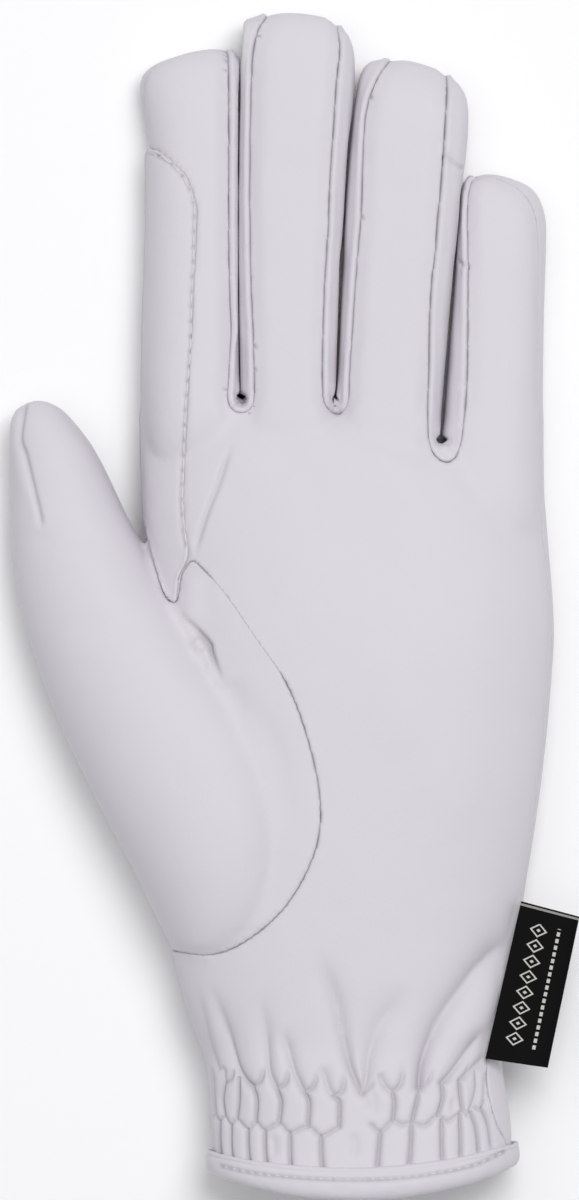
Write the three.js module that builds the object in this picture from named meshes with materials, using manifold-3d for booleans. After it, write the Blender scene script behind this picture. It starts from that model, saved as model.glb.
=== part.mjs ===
// Left riding glove of white synthetic leather, filled out as worn and resting on its back.
// Millimetres, +Z up: fingers along +Y, thumb towards -X, palm facing up.

import * as THREE from "three";
import { mergeVertices } from "three/addons/utils/BufferGeometryUtils.js";
import Module from "manifold-3d";

const wasm = await Module();
wasm.setup();

// Driving dimensions
const GLOVE_LENGTH = 240;
const PALM_BREADTH = 83;
const PALM_HEIGHT = 30;
const WALL = 1.4;
const GAP = 0.3;
const PATCH_WALL = 1.1;
const BINDING_WALL = 1.3;
const PUFF_HEIGHT = 1.1;
const FOLD_HEIGHT = 1.2;
const LABEL_LEAF = 1.0;
const LABEL_SLOT = 0.4;
const LABEL_LEVEL = 0.6 * PALM_HEIGHT;
const LABEL_TILT = 0.14;
const FINGER_SEAM_LEVEL = PALM_HEIGHT / 3;
const PALM_SEAM_LEVEL = PALM_HEIGHT / 2;

// The side seam rises between these shares of the length, from finger to palm level
const SEAM_RISE = { top: 0.68, bottom: 0.4 };

// Cutting bodies reach this far past what they cut
const BEYOND = PALM_HEIGHT;

// Points round a section: more on the palm side, where the form is fuller
const PALM_STEPS = 9;
const BACK_STEPS = 5;
const BODY_PALM_STEPS = 18;
const BODY_BACK_STEPS = 7;
const WRIST_STEP = 2.7;
const BINDING_STEPS = 12;

// Roundness of a section's halves: 2 is an ellipse, more is squarer
const FINGER_FORM = { palm: 2.5, back: 3.2 };
const BODY_FORM = { palm: 2.5, back: 3.6 };
const THUMB_FORM = { palm: 2.3, back: 2.6 };

// The widest level of a section lies at this share of its height
const WIDEST = 0.45;

// Sections across the glove, from the tip down. Across is a share of the palm's breadth from
// the middle of the palm, along a share of the glove's length from the hem, height a share of
// the palm's height. Bow lifts the middle of the section towards the fingers.
const SECTION = ["leftX", "leftY", "rightX", "rightY", "bow", "low", "high"];

const INDEX = table(SECTION, [
  [-0.463, 0.958, -0.297, 0.97, 0.004, 0.17, 0.37],
  [-0.497, 0.95, -0.278, 0.965, 0.004, 0.07, 0.47],
  [-0.516, 0.942, -0.268, 0.957, 0.003, 0.01, 0.52],
  [-0.512, 0.924, -0.268, 0.931, 0, -0.01, 0.55],
  [-0.492, 0.893, -0.268, 0.897, 0, -0.01, 0.58],
  [-0.487, 0.847, -0.27, 0.847, 0, -0.01, 0.6],
  [-0.497, 0.737, -0.273, 0.737, 0, -0.01, 0.65],
  [-0.499, 0.678, -0.273, 0.682, 0, -0.01, 0.68],
  [-0.495, 0.636, -0.273, 0.644, 0, 0, 0.7],
  [-0.475, 0.602, -0.292, 0.611, 0, 0.1, 0.6],
]);

const MIDDLE = table(SECTION, [
  [-0.214, 0.997, -0.078, 0.997, 0.003, 0.17, 0.37],
  [-0.246, 0.993, -0.044, 0.992, 0.003, 0.07, 0.47],
  [-0.258, 0.987, -0.015, 0.985, 0.002, 0.01, 0.53],
  [-0.261, 0.971, 0.007, 0.97, 0, -0.01, 0.57],
  [-0.261, 0.939, 0.015, 0.938, 0, -0.01, 0.6],
  [-0.256, 0.889, 0, 0.887, 0, -0.01, 0.62],
  [-0.256, 0.783, -0.022, 0.782, 0, -0.01, 0.65],
  [-0.256, 0.67, -0.034, 0.67, 0, -0.01, 0.7],
  [-0.248, 0.628, -0.041, 0.628, 0, 0, 0.72],
  [-0.229, 0.594, -0.058, 0.594, 0, 0.1, 0.6],
]);

const RING = table(SECTION, [
  [0.068, 0.96, 0.21, 0.953, 0.004, 0.17, 0.37],
  [0.044, 0.955, 0.248, 0.944, 0.003, 0.07, 0.47],
  [0.029, 0.945, 0.275, 0.933, 0.002, 0.01, 0.53],
  [0.024, 0.929, 0.287, 0.917, 0, -0.01, 0.57],
  [0.01, 0.889, 0.283, 0.88, 0, -0.01, 0.6],
  [-0.002, 0.838, 0.261, 0.832, 0, -0.01, 0.61],
  [-0.022, 0.691, 0.227, 0.682, 0, -0.01, 0.67],
  [-0.022, 0.657, 0.214, 0.643, 0, -0.01, 0.69],
  [-0.012, 0.619, 0.205, 0.604, 0, 0, 0.7],
  [0.007, 0.586, 0.19, 0.573, 0, 0.1, 0.6],
]);

const LITTLE = table(SECTION, [
  [0.307, 0.864, 0.424, 0.855, 0.003, 0.15, 0.33],
  [0.287, 0.858, 0.458, 0.847, 0.003, 0.07, 0.42],
  [0.278, 0.848, 0.477, 0.833, 0.002, 0.01, 0.47],
  [0.275, 0.832, 0.485, 0.818, 0, -0.01, 0.5],
  [0.268, 0.796, 0.482, 0.791, 0, -0.01, 0.53],
  [0.258, 0.754, 0.477, 0.749, 0, -0.01, 0.55],
  [0.248, 0.703, 0.475, 0.698, 0, -0.01, 0.58],
  [0.236, 0.653, 0.473, 0.646, 0, -0.01, 0.63],
  [0.231, 0.611, 0.475, 0.602, 0, -0.01, 0.67],
  [0.239, 0.577, 0.477, 0.567, 0, 0, 0.7],
  [0.258, 0.543, 0.463, 0.533, 0, 0.1, 0.6],
]);

const THUMB = table(SECTION, [
  [-0.809, 0.666, -0.716, 0.668, 0.007, 0.27, 0.43],
  [-0.826, 0.658, -0.689, 0.658, 0.004, 0.17, 0.53],
  [-0.833, 0.643, -0.65, 0.643, 0.002, 0.13, 0.6],
  [-0.828, 0.615, -0.602, 0.618, 0, 0.1, 0.67],
  [-0.831, 0.573, -0.555, 0.581, 0, 0.07, 0.73],
  [-0.826, 0.531, -0.502, 0.543, 0, 0.03, 0.8],
  [-0.799, 0.48, -0.426, 0.504, 0, -0.01, 0.87],
  [-0.743, 0.425, -0.329, 0.463, 0, -0.01, 0.93],
  [-0.667, 0.365, -0.214, 0.417, 0, -0.01, 1.0],
  [-0.599, 0.319, -0.132, 0.366, 0, -0.01, 1.05],
  [-0.526, 0.274, -0.093, 0.303, 0, -0.01, 1.07],
  [-0.458, 0.223, -0.127, 0.249, 0, -0.01, 1.03],
  [-0.404, 0.185, -0.214, 0.202, 0, 0.07, 0.9],
]);

const PALM = table(SECTION, [
  [-0.497, 0.667, 0.465, 0.602, 0.022, 0.1, 0.57],
  [-0.507, 0.663, 0.475, 0.596, 0.022, -0.01, 0.68],
  [-0.504, 0.628, 0.48, 0.573, 0.015, -0.01, 0.75],
  [-0.499, 0.586, 0.487, 0.543, 0.008, -0.01, 0.82],
  [-0.482, 0.501, 0.502, 0.484, 0.002, -0.01, 0.92],
  [-0.473, 0.459, 0.497, 0.451, 0, -0.01, 0.95],
  [-0.49, 0.358, 0.475, 0.358, 0, -0.01, 0.98],
  [-0.468, 0.257, 0.429, 0.257, 0, -0.01, 1.0],
  [-0.417, 0.173, 0.39, 0.168, -0.005, -0.01, 1.0],
]);

const WRIST = table(SECTION, [
  [-0.378, 0.135, 0.37, 0.135, -0.008, -0.01, 1.0],
  [-0.346, 0.112, 0.37, 0.112, -0.01, 0, 1.02],
  [-0.343, 0.088, 0.38, 0.09, -0.012, 0.02, 1.03],
  [-0.341, 0.063, 0.392, 0.067, -0.013, 0.03, 1.05],
  [-0.334, 0.038, 0.397, 0.045, -0.015, 0.04, 1.08],
  [-0.329, 0.023, 0.392, 0.029, -0.019, 0.04, 1.1],
]);

// Two rows of gathers held by elastic across the wrist, palm side only
const GATHERS = table(["top", "bottom", "puffs", "shift"], [
  [0.12, 0.089, 12, 0],
  [0.088, 0.052, 12, 0.5],
]);
const GATHER_SAG = 0.008;
const GATHER_LEFT = -0.36;
const GATHER_RIGHT = 0.35;

// Only surface that faces up at least this much is gathered or folded
const PALM_FACING = 0.15;

// Soft ridges that run from the gathers up into the palm, and one across the wrist's corner
const FOLDS = table(["startX", "startY", "endX", "endY", "width", "height"], [
  [-0.06, 0.2, 0.0, 0.11, 0.03, 0.6],
  [0.14, 0.17, 0.05, 0.11, 0.03, 0.7],
  [0.4, 0.22, 0.19, 0.11, 0.045, 1],
  [-0.21, 0.16, -0.2, 0.11, 0.025, 0.5],
  [-0.3, 0.19, -0.26, 0.11, 0.025, 0.6],
]);

// Seam lines seen from the palm side, in the same shares as the sections
const FORKS = {
  fourchette_index_middle: {
    left: [[-0.3, 1.02], [-0.295, 0.955], [-0.29, 0.855], [-0.29, 0.762], [-0.278, 0.652]],
    right: [[-0.244, 0.652], [-0.241, 0.796], [-0.246, 0.914], [-0.236, 0.968], [-0.2, 1.02]],
  },
  fourchette_middle_ring: {
    left: [[-0.05, 1.02], [-0.034, 0.939], [-0.046, 0.855], [-0.058, 0.771], [-0.063, 0.645]],
    right: [[-0.01, 0.645], [0.002, 0.729], [0.017, 0.796], [0.028, 0.86], [0.04, 0.92], [0.1, 1.0]],
  },
  fourchette_ring_little: {
    left: [[0.25, 1.0], [0.236, 0.918], [0.222, 0.847], [0.205, 0.783], [0.197, 0.72], [0.184, 0.606]],
    right: [[0.268, 0.606], [0.28, 0.678], [0.283, 0.754], [0.28, 0.826], [0.312, 0.9]],
  },
};

const LITTLE_SIDE_SEAM = [
  [0.475, 0.9], [0.475, 0.796], [0.464, 0.68], [0.475, 0.602], [0.492, 0.5], [0.48, 0.4],
  [0.458, 0.333], [0.434, 0.278], [0.419, 0.236], [0.385, 0.18], [0.34, 0.13], [0.334, 0.09],
  [0.351, 0.063], [0.382, 0.034], [0.392, -0.05],
];

const PALM_OUTSIDE = [[-1.1, -0.05], [-1.1, 1.05], [0.475, 1.05]];

const THUMB_SEAM = [
  [-0.387, 0.537], [-0.312, 0.51], [-0.231, 0.47], [-0.153, 0.43], [-0.102, 0.383],
  [-0.073, 0.333], [-0.085, 0.291], [-0.151, 0.247], [-0.244, 0.217], [-0.336, 0.203],
  [-0.443, 0.206],
];
const THUMB_FORK = [[-0.451, 0.504], [-0.419, 0.496], [-0.412, 0.522], [-0.387, 0.537]];
const THUMB_BACK_SEAM = [
  [-0.443, 0.206], [-0.463, 0.291], [-0.456, 0.375], [-0.44, 0.459], [-0.451, 0.504],
];
const THUMB_OUTSIDE = [[-1.1, 0.206], [-1.1, 0.75], [-0.58, 0.75], [-0.5, 0.58]];

const PATCH_TOP = [[-0.7, 0.884], [-0.502, 0.883], [-0.448, 0.876], [-0.395, 0.857], [-0.37, 0.832]];
const PATCH_OUTSIDE = [-0.7, 0.49];
const PATCH_SIDE = [[-0.378, 0.762], [-0.39, 0.687], [-0.4, 0.611], [-0.4, 0.569], [-0.387, 0.538]];

const LABEL = {
  seamTop: [0.4, 0.247],
  foldTop: [0.558, 0.234],
  foldBottom: [0.477, 0.109],
  seamBottom: [0.31, 0.115],
};

function table(columns, rows) {
  return rows.map((row) => Object.fromEntries(columns.map((column, i) => [column, row[i]])));
}

function place([across, along]) {
  return new THREE.Vector2(across * PALM_BREADTH, along * GLOVE_LENGTH);
}

function signedPower(value, power) {
  return Math.sign(value) * Math.abs(value) ** power;
}

function mixRows(a, b, t) {
  return Object.fromEntries(Object.keys(a).map((key) => [key, THREE.MathUtils.lerp(a[key], b[key], t)]));
}

// Rows spread evenly along a table, about step apart
function refine(rows, step) {
  const fine = [];
  for (let i = 0; i + 1 < rows.length; i += 1) {
    const span = (rows[i].leftY - rows[i + 1].leftY) * GLOVE_LENGTH;
    const count = Math.max(1, Math.round(span / step));
    for (let k = 0; k < count; k += 1) {
      fine.push(mixRows(rows[i], rows[i + 1], k / count));
    }
  }
  fine.push(rows.at(-1));
  return fine;
}

function angles(palmSteps, backSteps) {
  const palm = Array.from({ length: palmSteps }, (_, i) => (Math.PI * i) / palmSteps);
  const back = Array.from({ length: backSteps }, (_, i) => Math.PI * (1 + i / backSteps));
  return { palm: palmSteps, stops: [...palm, ...back] };
}

// The same section with twice the points on its palm side
function doubled({ palm, stops }) {
  return angles(2 * palm, stops.length - palm);
}

function sectionPoint(row, angle, form) {
  const roundness = Math.sin(angle) >= 0 ? form.palm : form.back;
  const across = signedPower(Math.cos(angle), 2 / roundness);
  const up = signedPower(Math.sin(angle), 2 / roundness);
  const left = place([row.leftX, row.leftY]);
  const right = place([row.rightX, row.rightY]);
  const spot = left.lerp(right, (1 + across) / 2);
  const low = row.low * PALM_HEIGHT;
  const high = row.high * PALM_HEIGHT;
  const middle = low + WIDEST * (high - low);
  const height = up >= 0 ? middle + up * (high - middle) : middle + up * (middle - low);
  return new THREE.Vector3(spot.x, spot.y + row.bow * (1 - across * across) * GLOVE_LENGTH, height);
}

// A closed skin through the sections: the rows of `wrist` have twice the points of `rows`
function loft(rows, form, ring, wrist = []) {
  const positions = [];
  const faces = [];
  const fineRing = doubled(ring);
  const sections = [...rows.map((row) => [row, ring]), ...wrist.map((row) => [row, fineRing])];
  const rings = sections.map(([row, { stops, palm }]) => {
    const start = positions.length;
    stops.forEach((angle) => positions.push(sectionPoint(row, angle, form)));
    return { start, palm, count: stops.length };
  });
  for (let k = 0; k + 1 < rings.length; k += 1) {
    const [upper, lower] = [rings[k], rings[k + 1]];
    for (let i = 0; i < upper.count; i += 1) {
      const [a, b] = [upper.start + i, upper.start + ((i + 1) % upper.count)];
      const splits = lower.palm > upper.palm && i < upper.palm;
      const first = splits ? 2 * i : i + lower.palm - upper.palm;
      const last = (first + (splits ? 2 : 1)) % lower.count;
      const [c, d] = [lower.start + first, lower.start + last];
      if (splits) {
        faces.push([a, c + 1, c], [a, b, c + 1], [b, d, c + 1]);
      } else {
        faces.push([a, d, c], [a, b, d]);
      }
    }
  }
  addCap(positions, faces, rings[0], false);
  addCap(positions, faces, rings.at(-1), true);
  const geometry = new THREE.BufferGeometry().setFromPoints(positions);
  geometry.setIndex(faces.flat());
  geometry.computeVertexNormals();
  return geometry;
}

function addCap(positions, faces, ring, flipped) {
  const centre = new THREE.Vector3();
  for (let i = 0; i < ring.count; i += 1) {
    centre.addScaledVector(positions[ring.start + i], 1 / ring.count);
  }
  const hub = positions.push(centre) - 1;
  for (let i = 0; i < ring.count; i += 1) {
    const [a, b] = [ring.start + i, ring.start + ((i + 1) % ring.count)];
    faces.push(flipped ? [hub, a, b] : [hub, b, a]);
  }
}

// Moves each point along its normal by a fixed offset plus what `relief` gives there
function inflated(geometry, offset, relief = () => 0) {
  const result = geometry.clone();
  const { position, normal } = result.attributes;
  const point = new THREE.Vector3();
  const out = new THREE.Vector3();
  for (let i = 0; i < position.count; i += 1) {
    point.fromBufferAttribute(position, i);
    out.fromBufferAttribute(normal, i);
    point.addScaledVector(out, offset + relief(point, out));
    position.setXYZ(i, point.x, point.y, point.z);
  }
  return result;
}

function solid(geometry) {
  const bare = geometry.clone();
  bare.deleteAttribute("normal");
  bare.deleteAttribute("uv");
  const { attributes, index } = mergeVertices(bare);
  const mesh = new wasm.Mesh({
    numProp: 3,
    vertProperties: new Float32Array(attributes.position.array),
    triVerts: new Uint32Array(index.array),
  });
  return new wasm.Manifold(mesh);
}

function joined(solids) {
  return solids.reduce((whole, next) => whole.add(next));
}

// Seams as smooth curves, and outlines moved outwards by a clearance
function smooth(points, count) {
  return new THREE.SplineCurve(points.map(place)).getPoints(count);
}

function grown(outline, clearance) {
  const ccw = THREE.ShapeUtils.area(outline) > 0 ? outline : [...outline].reverse();
  return ccw.map((point, i) => {
    const before = ccw.at(i - 1);
    const after = ccw[(i + 1) % ccw.length];
    const a = point.clone().sub(before).normalize();
    const b = after.clone().sub(point).normalize();
    const out = new THREE.Vector2(a.y + b.y, -a.x - b.x).normalize();
    const spread = Math.max(0.5, out.x * a.y - out.y * a.x);
    return point.clone().addScaledVector(out, clearance / spread);
  });
}

function prism(outline, clearance, low = -BEYOND, high = 2 * BEYOND) {
  const shape = new THREE.Shape(grown(outline, clearance));
  const geometry = new THREE.ExtrudeGeometry(shape, { depth: high - low, bevelEnabled: false });
  return solid(geometry.translate(0, 0, low));
}

// Everything above the side seam, which rises from the fingers to the palm
function aboveSeam(clearance) {
  const fingers = FINGER_SEAM_LEVEL - clearance;
  const palm = PALM_SEAM_LEVEL - clearance;
  const profile = new THREE.Shape([
    new THREE.Vector2(-BEYOND, palm),
    new THREE.Vector2(SEAM_RISE.bottom * GLOVE_LENGTH, palm),
    new THREE.Vector2(SEAM_RISE.top * GLOVE_LENGTH, fingers),
    new THREE.Vector2(GLOVE_LENGTH + BEYOND, fingers),
    new THREE.Vector2(GLOVE_LENGTH + BEYOND, 3 * BEYOND),
    new THREE.Vector2(-BEYOND, 3 * BEYOND),
  ]);
  const width = 4 * PALM_BREADTH;
  const geometry = new THREE.ExtrudeGeometry(profile, { depth: width, bevelEnabled: false });
  // The profile's x and y turn to the glove's y and z, its depth to x
  const turn = new THREE.Matrix4().makeBasis(
    new THREE.Vector3(0, 1, 0),
    new THREE.Vector3(0, 0, 1),
    new THREE.Vector3(1, 0, 0),
  );
  return solid(geometry.applyMatrix4(turn).translate(-width / 2, 0, 0));
}

// Height of the gathers and folds at a point of the palm side
function gatherRelief(point, normal) {
  if (normal.z < PALM_FACING) {
    return 0;
  }
  const across = point.x / PALM_BREADTH;
  const along = point.y / GLOVE_LENGTH;
  const share = (across - GATHER_LEFT) / (GATHER_RIGHT - GATHER_LEFT);
  let height = 0;
  for (const row of GATHERS) {
    const sag = GATHER_SAG * Math.sin(Math.PI * THREE.MathUtils.clamp(share, 0, 1));
    const down = (row.top - along - sag) / (row.top - row.bottom);
    if (share > 0 && share < 1 && down > 0 && down < 1) {
      const puff = Math.abs(Math.sin(Math.PI * (share * row.puffs + row.shift)));
      height += PUFF_HEIGHT * puff ** 0.7 * Math.sin(Math.PI * down) ** 0.6;
    }
  }
  for (const fold of FOLDS) {
    const [start, end] = [place([fold.startX, fold.startY]), place([fold.endX, fold.endY])];
    const run = end.clone().sub(start);
    const spot = new THREE.Vector2(point.x, point.y).sub(start);
    const t = THREE.MathUtils.clamp(spot.dot(run) / run.lengthSq(), 0, 1);
    const distance = spot.sub(run.multiplyScalar(t)).length() / (fold.width * PALM_BREADTH);
    height += FOLD_HEIGHT * fold.height * t * Math.exp(-distance * distance);
  }
  return height;
}

const fingerRing = angles(PALM_STEPS, BACK_STEPS);
const bodyRing = angles(BODY_PALM_STEPS, BODY_BACK_STEPS);

const members = {
  index: loft(INDEX, FINGER_FORM, fingerRing),
  middle: loft(MIDDLE, FINGER_FORM, fingerRing),
  ring: loft(RING, FINGER_FORM, fingerRing),
  little: loft(LITTLE, FINGER_FORM, fingerRing),
  thumb: loft(THUMB, THUMB_FORM, fingerRing),
};
const bodyPlain = loft([...PALM, ...WRIST], BODY_FORM, bodyRing);
const bodyGathered = loft(PALM, BODY_FORM, bodyRing, refine(WRIST, WRIST_STEP));

// The hollow needs fewer sections than the outside, and runs out past the hem
const hollowRows = [...PALM.filter((_, i) => i < 2 || i % 2), WRIST.at(1), WRIST.at(-1), pastHem(BEYOND)];
const bodyOpen = loft(hollowRows, BODY_FORM, bodyRing);

const floorSize = 2 * GLOVE_LENGTH;
const floor = solid(new THREE.BoxGeometry(floorSize, 2 * floorSize, BEYOND).translate(0, 0, -BEYOND / 2));

// The last section carried on past the hem by a length
function pastHem(length) {
  const [above, hem] = WRIST.slice(-2);
  return mixRows(above, hem, 1 + length / GLOVE_LENGTH / (above.leftY - hem.leftY));
}

function glovePieces() {
  const tubes = Object.values(members);
  const outside = joined([
    solid(inflated(bodyGathered, 0, gatherRelief)),
    ...tubes.map((tube) => solid(tube)),
  ]);
  const inside = joined([
    solid(inflated(bodyOpen, -WALL)),
    ...tubes.map((tube) => solid(inflated(tube, -WALL))),
  ]);
  let rest = outside.subtract(inside).subtract(floor);
  const pieces = {};

  for (const [name, fork] of Object.entries(FORKS)) {
    const outline = [...smooth(fork.left, 5), ...smooth(fork.right, 5)];
    pieces[name] = rest.intersect(prism(outline, -GAP / 2));
    rest = rest.subtract(prism(outline, GAP / 2));
  }

  const outer = THUMB_OUTSIDE.map(place);
  const palmSide = [...outer, ...THUMB_FORK.slice(0, -1).map(place), ...smooth(THUMB_SEAM, 10)];
  const backSide = [...outer, ...THUMB_BACK_SEAM.map(place).reverse()];
  const thumbRegion = (clearance) =>
    prism(palmSide, clearance).intersect(aboveSeam(clearance)).add(prism(backSide, clearance));
  pieces.thumb = rest.intersect(thumbRegion(-GAP / 2));
  rest = rest.subtract(thumbRegion(GAP / 2));

  const palmOutline = [...smooth(LITTLE_SIDE_SEAM, 12), ...PALM_OUTSIDE.map(place)];
  const palmRegion = (clearance) => prism(palmOutline, clearance).intersect(aboveSeam(clearance));
  pieces.palm_panel = rest.intersect(palmRegion(-GAP / 2));
  pieces.back_panel = rest.subtract(palmRegion(GAP / 2));
  return pieces;
}

// Overlay on the index finger's thumb side, clear of the panel under it and of the thumb
function reinPatch() {
  const layer = (offset) => joined([bodyPlain, members.index].map((form) => solid(inflated(form, offset))));
  const lowerEnd = [...THUMB_FORK, PATCH_OUTSIDE].map(place);
  const outline = [
    ...smooth(PATCH_TOP, 7),
    ...smooth(PATCH_SIDE, 5),
    ...lowerEnd.slice(0, -1).reverse(),
    lowerEnd.at(-1),
  ];
  const hull = layer(GAP + PATCH_WALL).subtract(layer(GAP));
  return hull
    .intersect(prism(outline, -GAP / 2))
    .intersect(aboveSeam(-GAP))
    .subtract(solid(inflated(members.thumb, GAP)));
}

// A strip folded over the cuff's edge, inside and out
function cuffBinding() {
  const [shirred, above, hem] = WRIST.slice(-3);
  const coarse = angles(BINDING_STEPS, BODY_BACK_STEPS);
  const strip = loft([above, hem, pastHem(GAP + BINDING_WALL)], BODY_FORM, coarse);
  const bore = loft([WRIST.at(1), hem, pastHem(BEYOND)], BODY_FORM, coarse);
  const around = loft([shirred, above, hem, pastHem(GAP)], BODY_FORM, doubled(bodyRing));
  const within = loft([WRIST.at(1), hem, pastHem(BEYOND)], BODY_FORM, bodyRing);
  const channel = solid(inflated(around, GAP)).subtract(solid(inflated(within, -WALL - GAP)));
  return solid(inflated(strip, GAP + BINDING_WALL))
    .subtract(solid(inflated(bore, -WALL - GAP - BINDING_WALL)))
    .subtract(channel)
    .subtract(floor);
}

// Folded once along its outer edge, its two ends sewn in the side seam
function wovenLabel() {
  const outline = [LABEL.seamTop, LABEL.seamBottom, LABEL.foldBottom, LABEL.foldTop].map(place);
  const thickness = 2 * LABEL_LEAF + LABEL_SLOT;
  const slotOutline = outline.map((corner, i) => {
    const side = i < 2 ? [outline[0], outline[1]] : [outline[3], outline[2]];
    const along = side[0].clone().sub(side[1]).setLength(i === 0 || i === 3 ? BEYOND : -BEYOND);
    return corner.clone().add(along).add(new THREE.Vector2(i < 2 ? -BEYOND : -LABEL_LEAF, 0));
  });
  const slot = prism(slotOutline, 0, LABEL_LEAF, LABEL_LEAF + LABEL_SLOT);
  const leaves = prism(outline, 0, 0, thickness).subtract(slot);
  const centre = place(LABEL.foldTop);
  return leaves
    .translate([-centre.x, -centre.y, 0])
    .rotate([-THREE.MathUtils.radToDeg(LABEL_TILT), 0, 0])
    .translate([centre.x, centre.y, LABEL_LEVEL])
    .subtract(solid(inflated(bodyGathered, GAP, gatherRelief)));
}

const leather = { color: 0xdfdbe0, roughness: 0.62, metalness: 0 };
const materials = {
  leather: new THREE.MeshStandardMaterial(leather),
  label: new THREE.MeshStandardMaterial({ color: 0x161616, roughness: 0.85, metalness: 0 }),
};

const solids = {
  ...glovePieces(),
  rein_patch: reinPatch(),
  cuff_binding: cuffBinding(),
  woven_label: wovenLabel(),
};

const glove = new THREE.Group();
for (const [name, piece] of Object.entries(solids)) {
  const { vertProperties, triVerts } = piece.getMesh();
  const geometry = new THREE.BufferGeometry();
  geometry.setAttribute("position", new THREE.BufferAttribute(new Float32Array(vertProperties), 3));
  geometry.setIndex(new THREE.BufferAttribute(new Uint32Array(triVerts), 1));
  const mesh = new THREE.Mesh(geometry, name === "woven_label" ? materials.label : materials.leather);
  mesh.name = name;
  glove.add(mesh);
}

// The origin lies under the middle of the glove
const box = new THREE.Box3().setFromObject(glove);
glove.position.set(-(box.min.x + box.max.x) / 2, -(box.min.y + box.max.y) / 2, -box.min.z);
glove.updateMatrixWorld(true);

export default glove;
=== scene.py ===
"""Left riding glove of white synthetic leather, resting on its back on a pale studio floor.

Metres, +Z up: fingers along +Y, thumb towards -X, palm facing the camera above it.
"""

import logging
import math
from dataclasses import dataclass, field
from enum import Enum
from functools import partial

import bmesh
import bpy
import numpy as np
from bpy.types import Material, Mesh, NodeSocket, Object
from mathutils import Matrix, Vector
from mathutils.bvhtree import BVHTree


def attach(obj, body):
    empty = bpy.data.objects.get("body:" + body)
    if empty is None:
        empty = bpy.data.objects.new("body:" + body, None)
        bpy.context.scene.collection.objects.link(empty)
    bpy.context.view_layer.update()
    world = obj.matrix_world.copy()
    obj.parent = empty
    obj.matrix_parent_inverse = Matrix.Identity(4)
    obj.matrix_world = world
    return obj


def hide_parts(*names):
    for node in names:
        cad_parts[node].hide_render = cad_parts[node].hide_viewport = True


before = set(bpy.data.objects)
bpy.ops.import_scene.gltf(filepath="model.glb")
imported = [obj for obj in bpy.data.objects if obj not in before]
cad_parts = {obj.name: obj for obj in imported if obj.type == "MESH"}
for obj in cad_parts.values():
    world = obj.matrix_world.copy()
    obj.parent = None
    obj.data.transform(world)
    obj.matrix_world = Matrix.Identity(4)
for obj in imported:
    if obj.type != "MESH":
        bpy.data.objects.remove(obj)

logging.basicConfig(level=logging.INFO, format="%(message)s")
log = logging.getLogger("glove")

MM = 0.001
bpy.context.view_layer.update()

# The same driving sizes and the same origin as the glove's construction
GLOVE_LENGTH = 240 * MM
PALM_BREADTH = 83 * MM
PALM_HEIGHT = 30 * MM
SHARE_ORIGIN = np.array((11.41 * MM, -119.09 * MM))

# The photograph's pixels on the glove: its scale, and the pixel above the frame's origin
PIXEL = 0.2022 * MM
ORIGIN_PIXEL = np.array((293.6, 606.0))

# Keeps lengths that are divided by above zero
TINY = 1e-9

# The lowest that any leather lies over the floor, and the step for measuring a slope
FLOOR_GAP = 0.02 * MM
PROBE = 0.02 * MM

# Large odd factors that scatter the noise's grid places, and how far a seed shifts them
SCATTER = (73856093, 19349663, 83492791)
SEED_SCATTER = 2971215073
SEED_SHIFT = 37.7
MIX = 1274126177
LARGEST = 0x7FFFFFFF
LEVELS = 65536

Points = np.ndarray


class Region(Enum):
    """The glove's cut pieces, by their place in the skin."""

    PALM = "palm_panel"
    BACK = "back_panel"
    THUMB = "thumb"
    FORK_INDEX_MIDDLE = "fourchette_index_middle"
    FORK_MIDDLE_RING = "fourchette_middle_ring"
    FORK_RING_LITTLE = "fourchette_ring_little"


REGION_ORDER = list(Region)


def place(shares: list) -> Points:
    """Turns shares of the palm's breadth and the glove's length into metres.

    Args:
        shares: Rows of across and along shares.

    Returns:
        Rows of x and y in metres.
    """
    return np.array(shares, float) * (PALM_BREADTH, GLOVE_LENGTH) + SHARE_ORIGIN


def seen(pixels: list) -> Points:
    """Turns places in the photograph into places on the glove.

    Args:
        pixels: Rows of pixel x and y.

    Returns:
        Rows of x and y in metres.
    """
    return (np.array(pixels, float) - ORIGIN_PIXEL) * (PIXEL, -PIXEL)


def spline(points: Points, per_span: int = 8) -> Points:
    """Runs a smooth curve through points.

    Args:
        points: Rows of coordinates that the curve passes.
        per_span: Steps between two of them.

    Returns:
        The finer rows.
    """
    ends = np.vstack((2 * points[0] - points[1], points, 2 * points[-1] - points[-2]))
    fine = []
    for p0, p1, p2, p3 in zip(ends[:-3], ends[1:-2], ends[2:-1], ends[3:]):
        for t in np.arange(per_span) / per_span:
            fine.append(
                0.5 * (2 * p1 + (p2 - p0) * t + (2 * p0 - 5 * p1 + 4 * p2 - p3) * t**2
                       + (3 * p1 - p0 - 3 * p2 + p3) * t**3)
            )
    fine.append(points[-1])
    return np.array(fine)


def value_noise(points: Points, size: float, seed: int) -> Points:
    """Smooth noise from -1 to 1.

    Args:
        points: Rows of x, y and z.
        size: Width of one bump in metres.
        seed: Picks the pattern.

    Returns:
        One value for each row.
    """
    scaled = points / size + SEED_SHIFT * seed
    cell = np.floor(scaled).astype(np.int64)
    share = scaled - cell
    share = share * share * (3 - 2 * share)
    total = np.zeros(len(points))
    for corner in np.ndindex(2, 2, 2):
        at = (cell + corner) * SCATTER
        mixed = at[:, 0] ^ at[:, 1] ^ at[:, 2] ^ (seed * SEED_SCATTER)
        mixed = (mixed ^ (mixed >> 13)) * MIX & LARGEST
        weight = np.prod(np.where(corner, share, 1 - share), axis=1)
        total += weight * (2 * (mixed % LEVELS) / (LEVELS - 1) - 1)
    return total


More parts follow.
